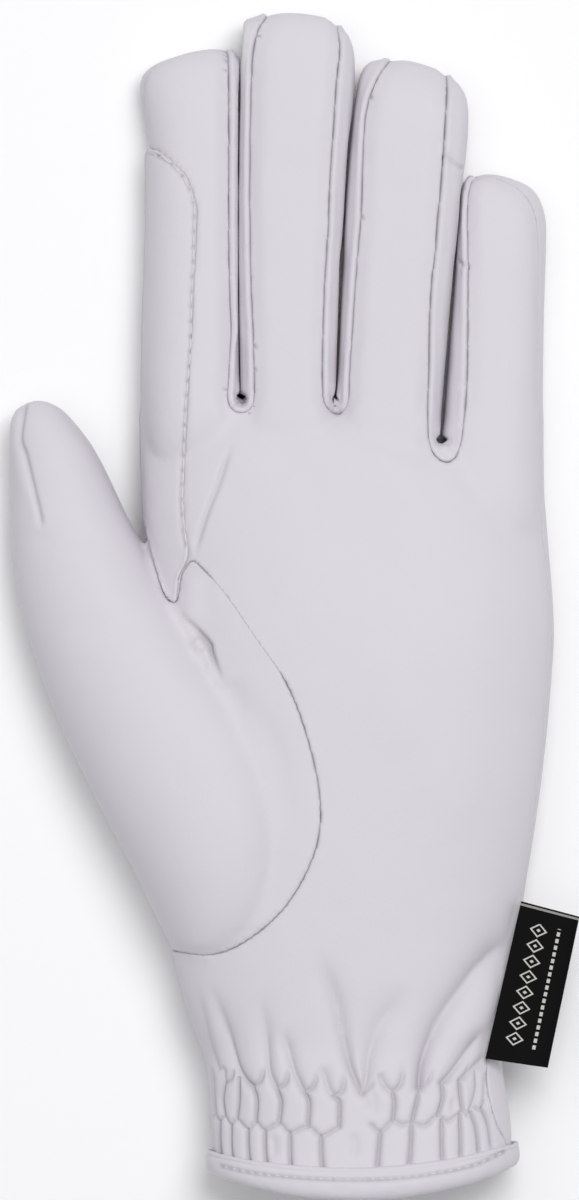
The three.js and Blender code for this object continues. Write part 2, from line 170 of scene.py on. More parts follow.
def noise(points: Points, *layers: tuple[float, float, int]) -> Points:
    """Adds up smooth noises.

    Args:
        points: Rows of x, y and z.
        *layers: Each noise's height, the width of its bumps and its seed.

    Returns:
        One height for each row.
    """
    return sum(height * value_noise(points, size, seed) for height, size, seed in layers)


def bell(distance: Points, width: float) -> Points:
    """A soft bump that falls to a third at one width from its middle."""
    return np.exp(-((distance / width) ** 2))


def step(value: Points, low: float, high: float) -> Points:
    """Rises smoothly from 0 at low to 1 at high."""
    t = np.clip((value - low) / (high - low), 0, 1)
    return t * t * (3 - 2 * t)


def seen_level(pixel_y: float) -> float:
    """Where a row of the photograph's pixels lies along the glove."""
    return seen([[0, pixel_y]])[0, 1]


def rising(points: Points, start: float, end: float) -> Points:
    """Rises smoothly from 0 to 1 between two of the photograph's pixel rows."""
    return step(points[:, 1], seen_level(start), seen_level(end))


class Line:
    """A line seen from the palm side, with distances measured from it."""

    batch = 8000

    def __init__(self, points: Points) -> None:
        """Keeps the line's spans.

        Args:
            points: Rows of x and y along the line.
        """
        self.points = points
        self.start = points[:-1]
        self.run = points[1:] - points[:-1]
        self.span = np.maximum(np.linalg.norm(self.run, axis=1), TINY)
        self.before = np.concatenate(([0.0], np.cumsum(self.span)[:-1]))
        self.length = float(self.span.sum())

    def measure(self, points: Points, reach: float) -> tuple[Points, Points, Points]:
        """Measures from the line, sideways and along it.

        Args:
            points: Rows with x and y first.
            reach: Rows further away than this count as far away.

        Returns:
            Distance to the right of the line (negative to its left), distance along the line,
            and how far the nearest place lies, for each row.
        """
        side = np.full(len(points), 1.0)
        along = np.zeros(len(points))
        low, high = self.points.min(axis=0) - reach, self.points.max(axis=0) + reach
        near = np.flatnonzero(((points[:, :2] > low) & (points[:, :2] < high)).all(axis=1))
        for rows in np.array_split(near, max(1, len(near) // self.batch)):
            if not len(rows):
                continue
            offset = points[rows, None, :2] - self.start
            t = np.clip((offset * self.run).sum(axis=2) / self.span**2, 0, 1)
            gap = offset - t[:, :, None] * self.run
            far = np.linalg.norm(gap, axis=2)
            best = far.argmin(axis=1)
            pick = np.arange(len(rows))
            run, away = self.run[best], gap[pick, best]
            turn = np.sign(run[:, 1] * away[:, 0] - run[:, 0] * away[:, 1])
            side[rows] = far[pick, best] * np.where(turn == 0, 1, turn)
            along[rows] = self.before[best] + t[pick, best] * self.span[best]
        return side, along, np.abs(side)

    def slope(self, points: Points, side: Points, axis: int, reach: float) -> Points:
        """How fast the distance to the line's right grows along one axis.

        Args:
            points: Rows of x, y and z.
            side: Each row's distance to the line's right.
            axis: 0 for x or 1 for y.
            reach: Rows further away than this count as far away.

        Returns:
            The slope at each row.
        """
        probe = points.copy()
        probe[:, axis] += PROBE
        return (self.measure(probe, reach)[0] - side) / PROBE


def drawn_line(path: tuple) -> Line:
    """The smooth line through places in the photograph."""
    return Line(spline(seen(path)))


def line_round(outline: Points) -> Line:
    """The closed line along an outline."""
    return Line(np.vstack((outline, outline[:1])))


def inside(points: Points, outline: Points) -> Points:
    """Tells which rows lie inside a closed outline in the plan.

    Args:
        points: Rows with x and y first.
        outline: Rows of the outline's corners.

    Returns:
        True or False for each row.
    """
    x, y = points[:, 0], points[:, 1]
    result = np.zeros(len(points), bool)
    for (ax, ay), (bx, by) in zip(outline, np.roll(outline, -1, axis=0)):
        if ay == by:
            continue
        crosses = ((ay > y) != (by > y)) & (x < (bx - ax) * (y - ay) / (by - ay) + ax)
        result ^= crosses
    return result


# Seams


@dataclass(frozen=True)
class FingerFork:
    """The strip between two fingers, by its seams and its fold in the photograph's pixels.

    The fold runs from the fork up beyond the fingertips; the slit is half its width. The fill is
    how far the leather is pressed up between the two fingers.
    """

    seam: tuple
    fold: tuple
    slit: float
    fill: float = 0.0

    def outline(self) -> Points:
        """The strip's outline in the plan."""
        return spline(seen(self.seam), 6)

    def gap(self) -> Line:
        """The line where the two fingers meet."""
        return drawn_line(self.fold)


@dataclass(frozen=True)
class SeamPlan:
    """Where the pieces meet, seen from the palm side, in shares of the glove."""

    index_middle: FingerFork = FingerFork(
        ((222, -60), (225, 10), (229, 60), (230, 150), (230, 240), (231, 290), (233, 330), (232, 360),
         (230, 385), (229, 402), (233, 410), (240, 413), (247, 411), (252, 404), (253, 375),
         (252, 330), (250, 290), (249, 230), (248, 180), (249, 120), (250, 80), (253, 50),
         (259, 27), (267, 12), (280, -15), (290, -60)),
        ((240, 396), (240, 365), (239, 340), (238, 300), (238, 200), (238.5, 120), (240, 70),
         (243, 40), (247, -60)),
        0.03 * MM,
        1.3 * MM,
    )
    middle_ring: FingerFork = FingerFork(
        ((322, -60), (332, 0), (339, 25), (341, 50), (338, 75), (336, 100), (335, 120), (331, 180),
         (329, 230), (327, 260), (325, 300), (324, 350), (324, 390), (326, 403), (331, 411),
         (338, 414), (344, 410), (347, 398), (348, 370), (351, 330), (353, 300), (357, 250),
         (360, 220), (361, 180), (362, 140), (365, 110), (371, 90), (380, 72), (390, 56),
         (402, 20), (410, -60)),
        ((335, 398), (337, 380), (338, 340), (339, 300), (340, 260), (342, 240), (345, 200),
         (347, 170), (349, 140), (353, 110), (355, 82), (358, 55), (361, 20), (363, -60)),
        0.15 * MM,
        0.3 * MM,
    )
    ring_little: FingerFork = FingerFork(
        ((440, 0), (447, 50), (448, 85), (446, 115), (444, 150), (441, 190), (438, 220), (436, 250),
         (433, 275), (431, 300), (430, 340), (430, 370), (429, 410), (429, 438), (433, 452),
         (440, 460), (448, 463), (456, 457), (461, 440), (464, 415), (466, 390), (467, 350),
         (467, 300), (467, 260), (466, 220), (467, 195), (471, 178), (480, 166), (492, 140),
         (500, 100), (500, 0)),
        ((440, 438), (443, 412), (445, 395), (448, 360), (451, 330), (453, 290), (456, 250),
         (458, 230), (460, 197), (463, 180), (467.5, 150), (470, 100), (471, -60)),
        0.22 * MM,
    )
    little_side: tuple = (
        (0.475, 0.9), (0.475, 0.796), (0.464, 0.68), (0.475, 0.602), (0.492, 0.5), (0.48, 0.4),
        (0.458, 0.333), (0.434, 0.278), (0.419, 0.236), (0.385, 0.18), (0.34, 0.13), (0.334, 0.09),
        (0.351, 0.063), (0.382, 0.034), (0.392, -0.05),
    )
    palm_outside: tuple = ((-1.1, -0.05), (-1.1, 1.05), (0.475, 1.05))
    thumb_arc: tuple = (
        (-0.387, 0.537), (-0.312, 0.51), (-0.231, 0.47), (-0.153, 0.43), (-0.102, 0.383),
        (-0.073, 0.333), (-0.085, 0.291), (-0.151, 0.247), (-0.244, 0.217), (-0.336, 0.203),
        (-0.443, 0.206),
    )
    thumb_fork: tuple = ((-0.451, 0.504), (-0.419, 0.496), (-0.412, 0.522), (-0.387, 0.537))
    thumb_back: tuple = (
        (-0.443, 0.206), (-0.463, 0.291), (-0.456, 0.375), (-0.44, 0.459), (-0.451, 0.504),
    )
    thumb_outside: tuple = ((-1.1, 0.206), (-1.1, 0.75), (-0.58, 0.75), (-0.5, 0.58))
    patch_top: tuple = (
        (-0.7, 0.884), (-0.502, 0.883), (-0.448, 0.876), (-0.395, 0.857), (-0.37, 0.832),
    )
    patch_outside: tuple = (-0.7, 0.49)
    patch_side: tuple = (
        (-0.378, 0.762), (-0.39, 0.687), (-0.4, 0.611), (-0.4, 0.569), (-0.387, 0.538),
    )
    finger_level: float = PALM_HEIGHT / 3
    palm_level: float = PALM_HEIGHT / 2
    rise_bottom: float = 0.4
    rise_top: float = 0.68
    little_rise: tuple = (0.3, 0.45, 2.4 * MM)

    def level(self, points: Points) -> Points:
        """Height of the side seam at each row; it lies higher on the little finger's side."""
        low, high = place([[0, self.rise_bottom], [0, self.rise_top]])[:, 1]
        start, end, rise = self.little_rise
        left, right = place([[start, 0], [end, 0]])[:, 0]
        base = np.interp(points[:, 1], (low, high), (self.palm_level, self.finger_level))
        return base + rise * step(points[:, 0], left, right)

    def thumb_palm_outline(self) -> Points:
        """The thumb's outline on the palm side."""
        fork = place(self.thumb_fork[:-1])
        return np.vstack((place(self.thumb_outside), fork, spline(place(self.thumb_arc))))

    def thumb_back_outline(self) -> Points:
        """The thumb's outline on the back."""
        return np.vstack((place(self.thumb_outside), place(self.thumb_back)[::-1]))

    def palm_outline(self) -> Points:
        """The palm panel's outline."""
        return np.vstack((spline(place(self.little_side)), place(self.palm_outside)))

    def patch_edge(self) -> Points:
        """The rein patch's stitched edge."""
        return np.vstack((spline(place(self.patch_top)), spline(place(self.patch_side))))

    def patch_outline(self) -> Points:
        """The rein patch's outline."""
        lower = place([*self.thumb_fork, self.patch_outside])
        return np.vstack((self.patch_edge(), lower[:-1][::-1], lower[-1:]))


@dataclass(frozen=True)
class Tube:
    """A finger, the thumb or the hand, as sections from its tip down."""

    name: str
    rows: tuple
    left_form: float
    right_form: float
    back_form: float
    spokes: int = 32
    widest: float = 0.45

    def plan(self, row: tuple, across: Points) -> Points:
        """Places on a section, seen from the palm side.

        Args:
            row: leftX, leftY, rightX, rightY and bow shares, and whatever follows.
            across: How far across the section each place is, from -1 to 1.

        Returns:
            Rows of x and y in metres.
        """
        left_x, left_y, right_x, right_y, bow = row[:5]
        ends = place([[left_x, left_y], [right_x, right_y]])
        share = (1 + across)[:, None] / 2
        plan = ends[0] * (1 - share) + ends[1] * share
        plan[:, 1] += bow * (1 - across**2) * GLOVE_LENGTH
        return plan

    def ring(self, row: tuple, count: int) -> Points:
        """One section's points.

        Args:
            row: leftX, leftY, rightX, rightY, bow, low and high shares.
            count: Number of points round the section.

        Returns:
            Rows of x, y and z in metres.
        """
        angles = np.arange(count) * 2 * math.pi / count
        palm_form = np.where(np.cos(angles) >= 0, self.right_form, self.left_form)
        power = 2 / np.where(np.sin(angles) >= 0, palm_form, self.back_form)
        across = np.sign(np.cos(angles)) * np.abs(np.cos(angles)) ** power
        up = np.sign(np.sin(angles)) * np.abs(np.sin(angles)) ** power
        bottom, top = (share * PALM_HEIGHT for share in row[5:])
        middle = bottom + self.widest * (top - bottom)
        height = np.where(up >= 0, middle + up * (top - middle), middle + up * (middle - bottom))
        return np.column_stack((self.plan(row, across), height))

    def skin(self) -> Object:
        """Extrudes the sections from a filled circle and smooths the tube."""
        tube = extrude_rings(self.name, [self.ring(row, self.spokes) for row in self.rows], False)
        apply_modifier(tube, "SUBSURF", levels=2, render_levels=2)
        return tube


# Help with meshes


def extrude_rings(name: str, rings: list[Points], closed: bool) -> Object:
    """Extrudes a circle from ring to ring.

    Args:
        name: The new object's name.
        rings: Each ring's rows of x, y and z.
        closed: Whether the last ring joins the first; if not, both ends are filled.

    Returns:
        The closed form.
    """
    fill = "NOTHING" if closed else "NGON"
    bpy.ops.mesh.primitive_circle_add(vertices=len(rings[0]), radius=MM, fill_type=fill)
    tube = bpy.context.object
    tube.name = name
    bpy.ops.object.mode_set(mode="EDIT")
    bpy.context.tool_settings.mesh_select_mode = (True, False, False)
    mesh = bmesh.from_edit_mesh(tube.data)
    spoke = mesh.verts.layers.int.new("spoke")
    turn = mesh.verts.layers.int.new("turn")
    mesh.verts.ensure_lookup_table()
    for number, vert in enumerate(mesh.verts):
        vert[spoke] = number
    for number, ring in enumerate(rings):
        if number:
            bpy.ops.mesh.extrude_region_move()
        mesh = bmesh.from_edit_mesh(tube.data)
        spoke, turn = (mesh.verts.layers.int[layer] for layer in ("spoke", "turn"))
        for vert in mesh.verts:
            if vert.select:
                vert.co = ring[vert[spoke]]
                vert[turn] = number
        bmesh.update_edit_mesh(tube.data)
    if closed:
        for vert in mesh.verts:
            vert.select = vert[turn] in (0, len(rings) - 1)
        mesh.select_flush_mode()
        bmesh.update_edit_mesh(tube.data)
        bpy.ops.mesh.bridge_edge_loops()
    face_outwards()
    return tube


def face_outwards() -> None:
    """Turns the faces of the active closed piece outwards."""
    bpy.ops.object.mode_set(mode="EDIT")
    bpy.ops.mesh.select_all(action="SELECT")
    bpy.ops.mesh.normals_make_consistent(inside=False)
    bpy.ops.object.mode_set(mode="OBJECT")


def apply_modifier(piece: Object, kind: str, **settings: object) -> None:
    """Adds a modifier to a piece and applies it.

    Args:
        piece: The object to shape.
        kind: The modifier's type.
        **settings: Its values.
    """
    select_only(piece)
    bpy.ops.object.modifier_add(type=kind)
    modifier = piece.modifiers[-1]
    for name, value in settings.items():
        setattr(modifier, name, value)
    bpy.ops.object.modifier_apply(modifier=modifier.name)


def select_only(*chosen: Object) -> None:
    """Deselects everything else, and makes the first one active."""
    bpy.ops.object.select_all(action="DESELECT")
    for piece in chosen:
        piece.select_set(True)
    bpy.context.view_layer.objects.active = chosen[0]


def positions(mesh: Mesh) -> Points:
    """A mesh's vertices as rows of x, y and z."""
    flat = np.empty(3 * len(mesh.vertices))
    mesh.vertices.foreach_get("co", flat)
    return flat.reshape(-1, 3)


def normals(mesh: Mesh) -> Points:
    """A mesh's vertex normals as rows."""
    flat = np.empty(3 * len(mesh.vertices), np.float32)
    mesh.vertex_normals.foreach_get("vector", flat)
    return flat.reshape(-1, 3).astype(float)


def move_to(mesh: Mesh, points: Points) -> None:
    """Puts a mesh's vertices at new places."""
    mesh.vertices.foreach_set("co", points.ravel())
    mesh.update()


def read_numbers(rows: bpy.types.bpy_prop_collection, name: str, width: int = 1) -> Points:
    """Reads one whole number, or a row of them, for each of a mesh's parts.

    Args:
        rows: The mesh's loops, edges or the like.
        name: What is read.
        width: How many numbers a part has.

    Returns:
        The numbers, in rows if there are several for each part.
    """
    flat = np.empty(width * len(rows), np.int64)
    rows.foreach_get(name, flat)
    return flat.reshape(-1, width) if width > 1 else flat


def face_corners(mesh: Mesh) -> Points:
    """The corners of a mesh's four-sided faces."""
    return read_numbers(mesh.loops, "vertex_index").reshape(-1, 4)


def new_object(name: str, points: Points, faces: list) -> Object:
    """Makes an object of points and faces and puts it in the scene."""
    mesh = bpy.data.meshes.new(name)
    mesh.from_pydata(points.tolist(), [], faces)
    piece = bpy.data.objects.new(name, mesh)
    bpy.context.collection.objects.link(piece)
    return piece


def cut_out(name: str, points: Points, faces: Points) -> tuple[Object, Points]:
    """Makes an object of some of a skin's faces.

    Args:
        name: The object's name.
        points: The skin's rows of x, y and z.
        faces: The corners of the faces that are taken.

    Returns:
        The open sheet, and each of its vertices' number in the skin.
    """
    used, fresh = np.unique(faces, return_inverse=True)
    return new_object(name, points[used], fresh.reshape(-1, 4).tolist()), used


def smooth(piece: Object) -> None:
    """Shades a piece smooth."""
    select_only(piece)
    bpy.ops.object.shade_smooth()


def lay(piece: Object, points: Points) -> None:
    """Puts a piece's vertices at new places, none of them in the floor."""
    points[:, 2] = np.maximum(points[:, 2], FLOOR_GAP)
    move_to(piece.data, points)


def give_wall(piece: Object, wall: float) -> None:
    """Gives an open sheet its wall, inwards, and shades it smooth."""
    apply_modifier(piece, "SOLIDIFY", thickness=wall, offset=-1.0, use_rim=True)
    smooth(piece)


def subdivide(piece: Object, chosen: Points) -> None:
    """Halves the spacing between the chosen vertices.

    Args:
        piece: The object to make finer.
        chosen: True for each vertex that takes part.
    """
    mesh = piece.data
    select_only(piece)
    bpy.ops.object.mode_set(mode="EDIT")
    bpy.ops.mesh.select_all(action="DESELECT")
    bpy.ops.object.mode_set(mode="OBJECT")
    picked = chosen[read_numbers(mesh.edges, "vertices", 2)].all(axis=1)
    mesh.edges.foreach_set("select", picked)
    bpy.ops.object.mode_set(mode="EDIT")
    bpy.context.tool_settings.mesh_select_mode = (False, True, False)
    bpy.ops.mesh.subdivide(number_cuts=1, smoothness=0.0)
    bpy.ops.object.mode_set(mode="OBJECT")


# The filled-out form


@dataclass
class Hand:
    """The filled-out form of the glove before it is cut in pieces."""

    voxel: float = 0.9 * MM
    melt: int = 10
    slit_open: float = 1.25 * MM
    slit_drawn: float = 0.5 * MM
    slit_found: float = 1.5 * MM
    slit_reach: float = 4.2 * MM
    fade_open: float = 2.5 * MM
    fade_shut: float = 0.6 * MM
    fill_width: float = 0.8 * MM
    fill_rise: tuple = (11 * MM, 14 * MM)
    fill_start: tuple = (7 * MM, 14 * MM)
    tubes: tuple = (
        Tube("index_form", (
            (-0.463, 0.958, -0.297, 0.97, 0.004, 0.17, 0.37),
            (-0.497, 0.95, -0.278, 0.965, 0.004, 0.07, 0.47),
            (-0.516, 0.942, -0.272, 0.957, 0.003, 0.01, 0.52),
            (-0.512, 0.924, -0.276, 0.931, 0, -0.01, 0.55),
            (-0.492, 0.893, -0.279, 0.897, 0, -0.01, 0.58),
            (-0.487, 0.847, -0.281, 0.847, 0, -0.01, 0.6),
            (-0.497, 0.737, -0.28, 0.737, 0, -0.01, 0.65),
            (-0.499, 0.678, -0.277, 0.682, 0, -0.01, 0.68),
            (-0.495, 0.636, -0.273, 0.644, 0, 0, 0.7),
            (-0.475, 0.602, -0.292, 0.611, 0, 0.1, 0.6),
        ), 2.5, 5.0, 4.0),
        Tube("middle_form", (
            (-0.214, 0.997, -0.078, 0.997, 0.003, 0.17, 0.37),
            (-0.246, 0.993, -0.044, 0.992, 0.003, 0.07, 0.47),
            (-0.258, 0.987, -0.015, 0.985, 0.002, 0.01, 0.53),
            (-0.261, 0.971, 0.007, 0.97, 0, -0.01, 0.57),
            (-0.26, 0.939, 0.006, 0.938, 0, -0.01, 0.6),
            (-0.262, 0.889, -0.009, 0.887, 0, -0.01, 0.62),
            (-0.264, 0.783, -0.031, 0.782, 0, -0.01, 0.65),
            (-0.26, 0.67, -0.041, 0.67, 0, -0.01, 0.7),
            (-0.248, 0.628, -0.041, 0.628, 0, 0, 0.72),
            (-0.229, 0.594, -0.058, 0.594, 0, 0.1, 0.6),
        ), 5.0, 5.0, 4.0),
        Tube("ring_form", (
            (0.068, 0.96, 0.21, 0.953, 0.004, 0.17, 0.37),
            (0.044, 0.955, 0.248, 0.944, 0.003, 0.07, 0.47),
            (0.029, 0.945, 0.275, 0.933, 0.002, 0.01, 0.53),
            (0.024, 0.929, 0.287, 0.917, 0, -0.01, 0.57),
            (0.008, 0.889, 0.281, 0.88, 0, -0.01, 0.6),
            (-0.003, 0.838, 0.258, 0.832, 0, -0.01, 0.61),
            (-0.023, 0.691, 0.224, 0.682, 0, -0.01, 0.67),
            (-0.026, 0.657, 0.212, 0.643, 0, -0.01, 0.69),
            (-0.012, 0.619, 0.205, 0.604, 0, 0, 0.7),
            (0.007, 0.586, 0.19, 0.573, 0, 0.1, 0.6),
        ), 5.0, 5.0, 4.0),
        Tube("little_form", (
            (0.307, 0.864, 0.424, 0.855, 0.003, 0.15, 0.33),
            (0.287, 0.858, 0.458, 0.847, 0.003, 0.07, 0.42),
            (0.278, 0.848, 0.477, 0.833, 0.002, 0.01, 0.47),
            (0.277, 0.832, 0.485, 0.818, 0, -0.01, 0.5),
            (0.268, 0.796, 0.482, 0.791, 0, -0.01, 0.53),
            (0.259, 0.754, 0.477, 0.749, 0, -0.01, 0.55),
            (0.248, 0.703, 0.475, 0.698, 0, -0.01, 0.58),
            (0.236, 0.653, 0.473, 0.646, 0, -0.01, 0.63),
            (0.231, 0.611, 0.475, 0.602, 0, -0.01, 0.67),
            (0.239, 0.577, 0.477, 0.567, 0, 0, 0.7),
            (0.258, 0.543, 0.463, 0.533, 0, 0.1, 0.6),
        ), 5.0, 2.6, 4.0),
        Tube("thumb_form", (
            (-0.809, 0.666, -0.716, 0.668, 0.007, 0.27, 0.43),
            (-0.826, 0.658, -0.689, 0.658, 0.004, 0.17, 0.53),
            (-0.833, 0.643, -0.65, 0.643, 0.002, 0.13, 0.6),
            (-0.828, 0.615, -0.602, 0.618, 0, 0.1, 0.67),
            (-0.831, 0.573, -0.555, 0.581, 0, 0.07, 0.73),
            (-0.826, 0.531, -0.502, 0.543, 0, 0.03, 0.8),
            (-0.799, 0.48, -0.426, 0.504, 0, -0.01, 0.87),
            (-0.743, 0.425, -0.329, 0.463, 0, -0.01, 0.93),
            (-0.667, 0.365, -0.214, 0.417, 0, -0.01, 1.0),
            (-0.599, 0.319, -0.132, 0.366, 0, -0.01, 1.05),
            (-0.526, 0.274, -0.093, 0.303, 0, -0.01, 1.07),
            (-0.458, 0.223, -0.127, 0.249, 0, -0.01, 1.03),
            (-0.404, 0.185, -0.214, 0.202, 0, 0.07, 0.9),
        ), 2.3, 2.3, 2.6),
    )
    palm: Tube = Tube("hand_form", (
        (-0.497, 0.667, 0.465, 0.602, 0.022, 0.1, 0.57),
        (-0.507, 0.663, 0.475, 0.596, 0.022, -0.01, 0.68),
        (-0.504, 0.628, 0.48, 0.573, 0.015, -0.01, 0.75),
        (-0.499, 0.586, 0.487, 0.543, 0.008, -0.01, 0.82),
        (-0.482, 0.501, 0.502, 0.484, 0.002, -0.01, 0.92),
        (-0.473, 0.459, 0.497, 0.451, 0, -0.01, 0.95),
        (-0.49, 0.358, 0.475, 0.358, 0, -0.01, 0.98),
        (-0.468, 0.257, 0.429, 0.257, 0, -0.01, 1.0),
        (-0.417, 0.173, 0.39, 0.168, -0.005, -0.01, 1.0),
        (-0.378, 0.135, 0.37, 0.135, -0.008, -0.01, 1.0),
        (-0.346, 0.112, 0.37, 0.112, -0.01, 0, 1.02),
        (-0.343, 0.088, 0.38, 0.09, -0.012, 0.02, 1.03),
        (-0.341, 0.063, 0.392, 0.067, -0.013, 0.03, 1.05),
        (-0.334, 0.038, 0.397, 0.045, -0.015, 0.04, 1.08),
        (-0.329, 0.023, 0.392, 0.029, -0.019, 0.04, 1.1),
        (-0.324, 0.003, 0.392, 0.009, -0.021, 0.04, 1.1),
    ), 2.5, 2.5, 3.6, 48)

    def build(self, forks: list[FingerFork]) -> Object:
        """Fuses the tubes to one skin and melts their joins.

        Args:
            forks: The strips between the fingers, whose slits are held open meanwhile.

        Returns:
            The closed skin.
        """
        tubes = [tube.skin() for tube in (self.palm, *self.tubes)]
        for tube in tubes[1:]:
            opened = positions(tube.data)
            for fork in forks:
                opened = self.shift_sides(opened, fork, self.slit_drawn, self.slit_open, self.fade_open)
            move_to(tube.data, opened)
        select_only(*tubes)
        bpy.ops.object.join()
        skin = bpy.context.object
        skin.name = "skin"
        skin.data.remesh_voxel_size = self.voxel
        bpy.ops.object.voxel_remesh()
        apply_modifier(skin, "SMOOTH", factor=0.5, iterations=self.melt)
        points = positions(skin.data)
        for fork in forks:
            points = self.shift_sides(points, fork, self.slit_found, fork.slit, self.fade_shut)
            _, along, far = fork.gap().measure(points, self.slit_reach)
            pressed = bell(far, self.fill_width) * step(points[:, 2], *self.fill_rise)
            points[:, 2] += fork.fill * pressed * step(along, *self.fill_start)
        points[:, 2] = np.maximum(points[:, 2], 0.0)
        move_to(skin.data, points)
        return skin

    def hem(self, above: float) -> Line:
        """The hem's line in the plan, a little above the form's last true section."""
        plan = self.palm.plan(self.palm.rows[-2], np.linspace(-1, 1, 41))
        return Line(plan + (0, above))

    def shift_sides(self, points: Points, fork: FingerFork, inner: float, target: float,
                    fade: float) -> Points:
        """Moves the fingers' facing sides, as if the slit between them had another width.

        Args:
            points: The rows of x, y and z to move.
            fork: The strip between the two fingers.
            inner: Half the slit's width now.
            target: Half its width afterwards.
            fade: Length at the fork over which the move fades in.

        Returns:
            The moved rows.
        """
        moved = points.copy()
        gap = fork.gap()
        stretch = (self.slit_reach - target) / (self.slit_reach - inner)
        side, along, far = gap.measure(points, self.slit_reach)
        rows = np.flatnonzero(far < self.slit_reach)
        wanted = np.maximum(target + (far[rows] - inner) * stretch, 0.5 * min(target, inner))
        ease = step(along[rows], 0, fade)
        moved[rows, 0] += (wanted - far[rows]) * np.sign(side[rows]) * ease
        return moved


# Relief of the skin: folds, creases and gathers


@dataclass(frozen=True)
class Fold:
    """A soft ridge, or a crease where its height is below zero."""

    path: tuple
    width: float
    height: float
    fade_in: float = 0.3
    fade_out: float = 0.3

    def relief(self, points: Points) -> Points:
        """Height of the fold at each row."""
        line = drawn_line(self.path)
        _, along, far = line.measure(points, 4 * self.width)
        share = along / line.length
        ends = step(share, 0, self.fade_in) * (1 - step(share, 1 - self.fade_out, 1))
        return self.height * bell(far, self.width) * ends


@dataclass(frozen=True)
class Tack:
    """A lump of leather drawn together by bar tacks at the foot of a slit."""

    centre: tuple
    radius: float
    height: float
    lump_share: float = 0.75
    puckers: tuple = (0.4, 0.9 * MM, 31)

    def distance(self, points: Points) -> Points:
        """Distance of each row from the lump's middle, in the plan."""
        return np.linalg.norm(points[:, :2] - seen([self.centre])[0], axis=1)

    def relief(self, points: Points) -> Points:
        """Height of the lump at each row, with the puckers round its stitches."""
        off = self.distance(points)
        lump = bell(off, self.lump_share * self.radius)
        return self.height * (lump + noise(points, self.puckers) * bell(off, self.radius))


@dataclass(frozen=True)
class Crease:
    """A drawn-in line of the gathered leather, soft at its start and sharp at its end.

    Its foot is rounded by the sharpness. Its painted shade is darkest where it is as deep as the
    full depth and no wider than the dark width.
    """

    path: tuple
    depth: float
    start_width: float
    end_width: float
    fade_in: float = 0.0
    fade_out: float = 0.0
    full_depth: float = 1.2 * MM
    dark_width: float = 0.45 * MM
    sharpness: float = 0.18 * MM

    def relief(self, points: Points) -> tuple[Points, Points]:
        """Depth of the crease at each row, zero or more, and how much painted shade it puts on the
        leather.
        """
        line = drawn_line(self.path)
        _, along, far = line.measure(points, 4 * max(self.start_width, self.end_width))
        share = along / line.length
        width = self.start_width + (self.end_width - self.start_width) * share
        start = step(share, 0, self.fade_in) if self.fade_in else 1.0
        end = 1 - step(share, 1 - self.fade_out, 1) if self.fade_out else 1.0
        reach = np.sqrt(far**2 + self.sharpness**2) - self.sharpness
        depth = self.depth * np.exp(-reach / width) * (start * end)
        return depth, depth / self.full_depth * np.minimum(1, self.dark_width / width)


